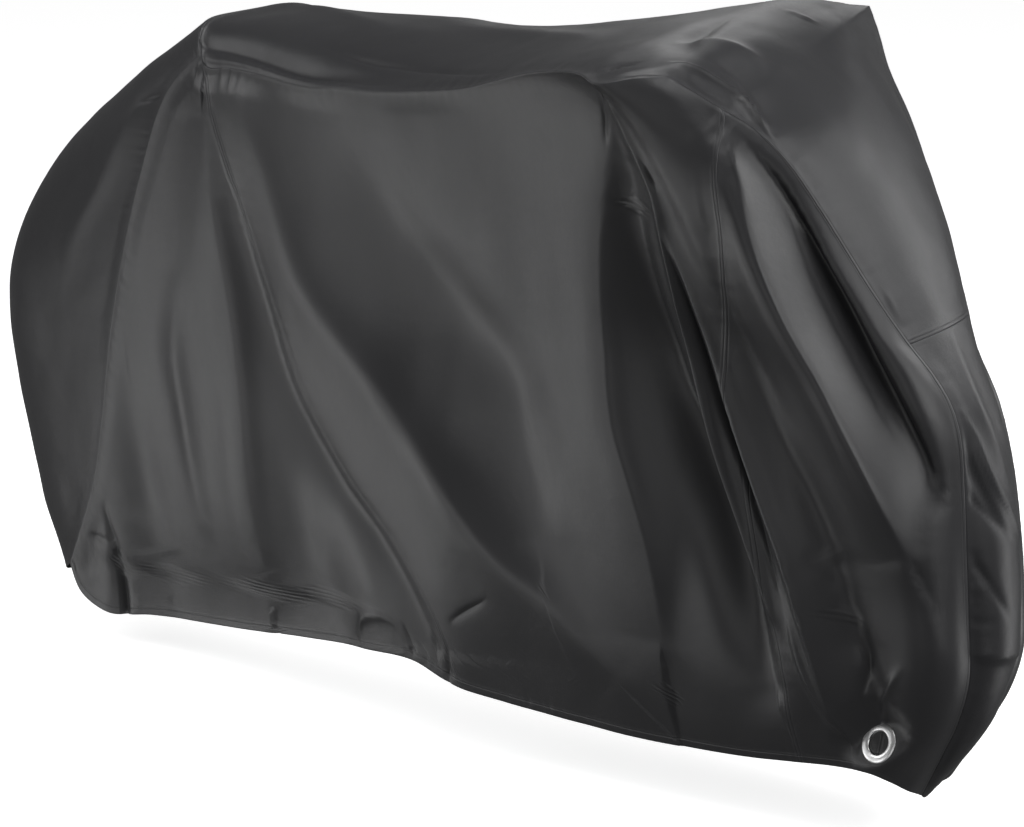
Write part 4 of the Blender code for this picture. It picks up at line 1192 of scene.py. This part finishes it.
class CoverStage(bpy.types.PropertyGroup):
    """Camera, floor and lights."""

    turn: bpy.props.FloatProperty(name="Turn", description="Camera's turn from the near side to the nose",
                                  default=math.radians(40.0), subtype="ANGLE")
    rise: bpy.props.FloatProperty(name="Rise", description="Camera's rise above the floor",
                                  default=math.radians(14.5), subtype="ANGLE")
    distance: length_setting("Distance", "Distance from the camera to what it looks at", 6.5, 1.0, 30.0)
    lens: bpy.props.FloatProperty(name="Lens", description="Focal length in millimetres",
                                  default=157.8, min=20.0, max=400.0)
    floor_color: color_setting("Floor", "Colour of the floor", (0.90, 0.90, 0.90))
    floor_size: length_setting("Floor size", "Length of the floor's sides", 12.0, 3.0, 60.0)
    glow: factor_setting("Floor glow", "Even light that the floor gives off", 0.92, high=2.0)
    light: bpy.props.FloatProperty(name="Light", description="Power of a softbox whose share is 1",
                                   default=100.0, min=0.0, max=5000.0, unit="POWER")
    light_distance: length_setting("Light distance", "Distance of the softboxes", 3.6, 1.0, 20.0)
    sky: factor_setting("Surround", "Brightness of the surround", 0.12, high=3.0)


WIDE_BOX = (1.4, 2.2)
NARROW_BOX = (1.1, 1.8)
# Softboxes round the cover. The low ones shine up through the paper floor.
SOFTBOXES = [
    # name, turn from the near side to the nose and rise in degrees, share of the light, size
    ("left_key", -62.0, -21.0, 0.13, NARROW_BOX),
    ("left_fill", -46.0, -6.0, 0.07, WIDE_BOX),
    ("front_key", -20.0, -16.0, 0.14, WIDE_BOX),
    ("front_fill", 26.0, 0.0, 0.07, WIDE_BOX),
    ("right", 80.0, 12.0, 0.26, WIDE_BOX),
    ("right_back", 110.0, 35.0, 0.42, WIDE_BOX),
    ("right_low", 132.0, -14.0, 0.22, WIDE_BOX),
    ("back", 150.0, 18.0, 0.27, WIDE_BOX),
    ("behind", 206.0, 34.0, 0.12, WIDE_BOX),
    ("overhead", 0.0, 88.0, 0.55, WIDE_BOX),
    ("above", 40.0, 65.0, 0.20, WIDE_BOX),
    ("left_high", -52.0, 34.0, 0.30, WIDE_BOX),
]
SENSOR = 36.0                                  # width of the camera's sensor, in millimetres
AIM = Vector((0.079, 0.0, -0.097))             # where the camera looks, from the middle of the solids
FLOOR_GAP = 0.042                              # the hem's lowest point stands this far off the floor
EYELETS = {
    # centre and the way it faces
    "near": ((0.741, -0.102, 0.160), (-0.10, -0.91, 0.40)),
    "far": ((0.714, 0.110, 0.150), (-0.05, 0.95, 0.28)),
}
# The sheet of each piece, kept once it is made.
SHEETS = {}


def sheet_of(name):
    """A piece's sheet, made once and kept for its sewing."""
    if name not in SHEETS:
        scene = bpy.context.scene
        cloth = scene.cover_cloth
        if name in GUSSETS:
            SHEETS[name] = gusset_sheet(name, cloth.cell, cloth)
        else:
            hand, piece = name.split("_")[:2]
            cell = cloth.cell if hand == "near" else cloth.far_cell
            SHEETS[name] = side_sheet(hand, piece, cell, cloth)
            if piece == "front":
                punch(SHEETS[name], *EYELETS[hand], scene.cover_eyelets)
    return SHEETS[name]


def cloth_finish(slot, cloth):
    """The material of a slot's cloth, made once."""
    name = slot + "_finish"
    if name in bpy.data.materials:
        return bpy.data.materials[name]
    if slot == "side_cloth":
        return cloth_look(name, cloth.side_color, cloth.side_gloss, cloth)
    return cloth_look(name, cloth.gusset_color, cloth.gusset_gloss, cloth)


def build_cloth(name, nodes, slot):
    """Builds one piece of cloth over its CAD node or nodes, and hides those nodes."""
    cloth = bpy.context.scene.cover_cloth
    piece = sheet_piece(sheet_of(name), name + "_drape", cloth.thickness, cloth_finish(slot, cloth))
    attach(piece, "root")
    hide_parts(*nodes)


def build_side(hand):
    """Builds the three pieces of one side."""
    for piece in SIDE_EDGES:
        name = f"{hand}_{piece}_panel"
        nodes = [name, f"{hand}_eyelet_corner"] if piece == "front" else [name]
        build_cloth(name, nodes, "side_cloth")


THREAD_SIDES = 6
STITCH_STATIONS = [                            # along a stitch in its lengths, and its thickness there
    (-0.5, 0.25), (-0.32, 0.85), (0.0, 1.0), (0.32, 0.85), (0.5, 0.25),
]


def stitches_along(line, sewing):
    """Points and faces of the stitches along a line: short rounded lengths of thread."""
    run = run_along(line)
    marks = np.arange(0.5 * sewing.pitch, run[-1] - 0.5 * sewing.pitch, sewing.pitch)
    centre, ahead = (np.stack([np.interp(marks + step, run, line[:, k]) for k in range(3)], axis=-1)
                     for step in (0.0, MILLIMETRE))
    ahead = ahead - centre
    ahead = ahead / np.maximum(np.linalg.norm(ahead, axis=1, keepdims=True), 1e-9)
    side = np.cross(ahead, np.array([0.0, 1.0, 0.0]))
    crosswise = np.linalg.norm(side, axis=1) < 0.2
    side[crosswise] = np.cross(ahead[crosswise], np.array([0.0, 0.0, 1.0]))
    side = side / np.linalg.norm(side, axis=1, keepdims=True)
    up = np.cross(side, ahead)
    points = []
    for share, fat in STITCH_STATIONS:
        middle = centre + ahead * share * sewing.length
        for turn in np.arange(THREAD_SIDES) * math.tau / THREAD_SIDES:
            out = side * math.cos(turn) + up * math.sin(turn)
            points.append(middle + out * fat * 0.5 * sewing.width)
    stations = len(STITCH_STATIONS)
    index = np.arange(stations * THREAD_SIDES * len(marks)).reshape(stations, THREAD_SIDES, -1)
    faces = []
    for k in range(stations - 1):
        for j in range(THREAD_SIDES):
            beside = (j + 1) % THREAD_SIDES
            faces.append(np.stack([index[k, j], index[k, beside], index[k + 1, beside], index[k + 1, j]],
                                  axis=-1))
    # each end is closed by two faces
    for k, order in ((0, (0, 5, 4, 3)), (0, (0, 3, 2, 1)), (-1, (0, 1, 2, 3)), (-1, (0, 3, 4, 5))):
        faces.append(np.stack([index[k, j] for j in order], axis=-1))
    return np.concatenate(points), np.concatenate(faces)


def lay_stitches(name, lines, sewing, material):
    """Lays rows of stitches in their grooves, as one piece."""
    points, faces = [], []
    count = 0
    for line in lines:
        row_points, row_faces = stitches_along(line, sewing)
        points.append(row_points)
        faces.append(row_faces + count)
        count += len(row_points)
    piece = mesh_piece(name, np.concatenate(points), np.concatenate(faces), material)
    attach(piece, "root")


def build_eyelet(hand, eyelet, material):
    """A pressed eyelet: two domed flanges on a barrel, turned about its axis."""
    inner, barrel, rim = eyelet.bore / 2, eyelet.barrel / 2, eyelet.rim / 2
    under = 0.0008                             # from the middle of the cloth to a flange's underside
    crown = 0.0028                             # and to the shoulder of its dome
    middle = 0.5 * (inner + rim)
    half = [(inner, 0.0), (inner, 0.0010), (inner + 0.0003, 0.0018), (inner + 0.0010, 0.0024),
            (inner + 0.0022, crown), (middle, crown + 0.0003), (rim - 0.0024, crown - 0.0003),
            (rim - 0.0009, crown - 0.0009), (rim - 0.0002, crown - 0.0016), (rim, under + 0.0002),
            (rim - 0.0006, under), (barrel, under)]
    profile = np.array(half + [(radius, -height) for radius, height in reversed(half[1:])])
    sides = 96
    turn = np.arange(sides) * math.tau / sides
    local = np.stack([profile[:, None, 0] * np.cos(turn), profile[:, None, 0] * np.sin(turn),
                      profile[:, None, 1] + 0.0 * turn], axis=-1)
    centre, faces_along = EYELETS[hand]
    axis = Vector(faces_along).normalized()
    turned = np.asarray(axis.to_track_quat("Z", "Y").to_matrix())
    points = local.reshape(-1, 3) @ turned.T + np.asarray(centre)
    index = np.arange(len(profile) * sides).reshape(-1, sides)
    after = np.roll(index, -1, axis=0)
    faces = np.stack([index, np.roll(index, -1, axis=1), np.roll(after, -1, axis=1), after], axis=-1)
    piece = mesh_piece(f"{hand}_eyelet_ring", points, faces.reshape(-1, 4)[:, ::-1], material)
    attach(piece, "root")
    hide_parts(f"{hand}_eyelet")


# ---------------------------------------------------------------- operators
class COVER_OT_near_side(bpy.types.Operator):
    """Build the cloth of the near side"""

    bl_idname = "bicycle_cover.near_side"
    bl_label = "Near side cloth"

    def execute(self, context):
        build_side("near")
        return {"FINISHED"}


class COVER_OT_far_side(bpy.types.Operator):
    """Build the cloth of the far side"""

    bl_idname = "bicycle_cover.far_side"
    bl_label = "Far side cloth"

    def execute(self, context):
        build_side("far")
        return {"FINISHED"}


class COVER_OT_gussets(bpy.types.Operator):
    """Build the top panel and the tail and nose gussets"""

    bl_idname = "bicycle_cover.gussets"
    bl_label = "Top panel and gussets"

    def execute(self, context):
        for name in GUSSETS:
            build_cloth(name, [name], "gusset_cloth")
        return {"FINISHED"}


class COVER_OT_stitching(bpy.types.Operator):
    """Sew the seams and hems"""

    bl_idname = "bicycle_cover.stitching"
    bl_label = "Stitching"

    def execute(self, context):
        sewing = context.scene.cover_sewing
        thread = thread_look("thread_finish", sewing.color)
        for hand in EYELETS:
            lines = [line for piece in SIDE_EDGES for line in sheet_of(f"{hand}_{piece}_panel").stitches]
            lay_stitches(f"{hand}_side_stitching", lines, sewing, thread)
        lines = [line for name in GUSSETS for line in sheet_of(name).stitches]
        lay_stitches("gusset_stitching", lines, sewing, thread)
        return {"FINISHED"}


class COVER_OT_eyelets(bpy.types.Operator):
    """Set the lock eyelets in the front corners"""

    bl_idname = "bicycle_cover.eyelets"
    bl_label = "Lock eyelets"

    def execute(self, context):
        eyelet = context.scene.cover_eyelets
        metal = metal_look("eyelet_finish", eyelet.color)
        for hand in EYELETS:
            build_eyelet(hand, eyelet, metal)
        return {"FINISHED"}


def direction(turn, rise):
    """The way that lies at a turn from the near side to the nose and a rise above level."""
    return Vector((math.sin(turn) * math.cos(rise), -math.cos(turn) * math.cos(rise), math.sin(rise)))


def point_at(made, away, middle, distance):
    """Sets a light or the camera at a distance from a place, facing it."""
    made.location = middle + away * distance
    made.rotation_euler = (-away).to_track_quat("-Z", "Y").to_euler()
    bpy.context.scene.collection.objects.link(made)


def lay_floor(stage, low, middle):
    """The paper floor, which only the camera sees."""
    bpy.ops.mesh.primitive_plane_add(size=stage.floor_size, location=(middle.x, 0.0, low[2] - FLOOR_GAP))
    floor = bpy.context.object
    floor.name = "floor"
    floor.data.materials.append(floor_look("floor_paper", (*stage.floor_color, 1.0), stage.glow))
    floor.visible_glossy = False
    floor.visible_diffuse = False
    floor.visible_shadow = False


def light_surround(sky):
    """A surround that the camera sees white and the cloth sees at the strength of the sky."""
    world = bpy.data.worlds.new("studio")
    bpy.context.scene.world = world
    world.use_nodes = True
    nodes = Nodes(world.node_tree)
    background = nodes.tree.nodes["Background"].inputs
    background["Color"].default_value = (1.0, 1.0, 1.0, 1.0)
    seen = nodes.node("ShaderNodeLightPath", out="Is Camera Ray")
    level = nodes.node("ShaderNodeMapRange", {}, {"Value": seen, "To Min": sky, "To Max": 1.0})
    nodes.join(background["Strength"], level)


class COVER_OT_stage(bpy.types.Operator):
    """Set up the floor, the lights and the camera"""

    bl_idname = "bicycle_cover.stage"
    bl_label = "Floor, lights and camera"

    def execute(self, context):
        stage = context.scene.cover_stage
        low, high = CAD_BOX
        middle = Vector(((low[0] + high[0]) / 2, 0.0, (low[2] + high[2]) / 2))
        lay_floor(stage, low, middle)
        context.scene.view_settings.view_transform = "Standard"
        light_surround(stage.sky)
        for name, turn, rise, share, size in SOFTBOXES:
            light = bpy.data.lights.new(name, "AREA")
            light.energy = share * stage.light
            light.shape = "RECTANGLE"
            light.size, light.size_y = size
            away = direction(math.radians(turn), math.radians(rise))
            point_at(bpy.data.objects.new(name, light), away, middle, stage.light_distance)
        camera = bpy.data.objects.new("camera", bpy.data.cameras.new("camera"))
        camera.data.lens = stage.lens
        camera.data.sensor_width = SENSOR
        point_at(camera, direction(stage.turn, stage.rise), middle + AIM, stage.distance)
        context.scene.camera = camera
        return {"FINISHED"}


class COVER_PT_sidebar(bpy.types.Panel):
    """Lists the sizes and the building steps"""

    bl_label = "Bicycle Cover"
    bl_idname = "COVER_PT_sidebar"
    bl_space_type = "VIEW_3D"
    bl_region_type = "UI"
    bl_category = "Bicycle Cover"

    def draw(self, context):
        for step in STEPS:
            self.layout.operator(step.bl_idname)
        for group in GROUPS.values():
            settings = getattr(context.scene, group)
            box = self.layout.box()
            for key in type(settings).__annotations__:
                box.prop(settings, key)


STEPS = (COVER_OT_near_side, COVER_OT_far_side, COVER_OT_gussets, COVER_OT_stitching, COVER_OT_eyelets,
         COVER_OT_stage)
GROUPS = {CoverCloth: "cover_cloth", CoverSewing: "cover_sewing", CoverEyelets: "cover_eyelets",
          CoverStage: "cover_stage"}


def register():
    for group, name in GROUPS.items():
        bpy.utils.register_class(group)
        setattr(bpy.types.Scene, name, bpy.props.PointerProperty(type=group))
    for step in STEPS:
        bpy.utils.register_class(step)
    bpy.utils.register_class(COVER_PT_sidebar)


def unregister():
    bpy.utils.unregister_class(COVER_PT_sidebar)
    for step in reversed(STEPS):
        bpy.utils.unregister_class(step)
    for group, name in GROUPS.items():
        delattr(bpy.types.Scene, name)
        bpy.utils.unregister_class(group)


def main():
    register()
    for step in STEPS:
        group, name = step.bl_idname.split(".")
        getattr(getattr(bpy.ops, group), name)()


if __name__ == "__main__":
    main()
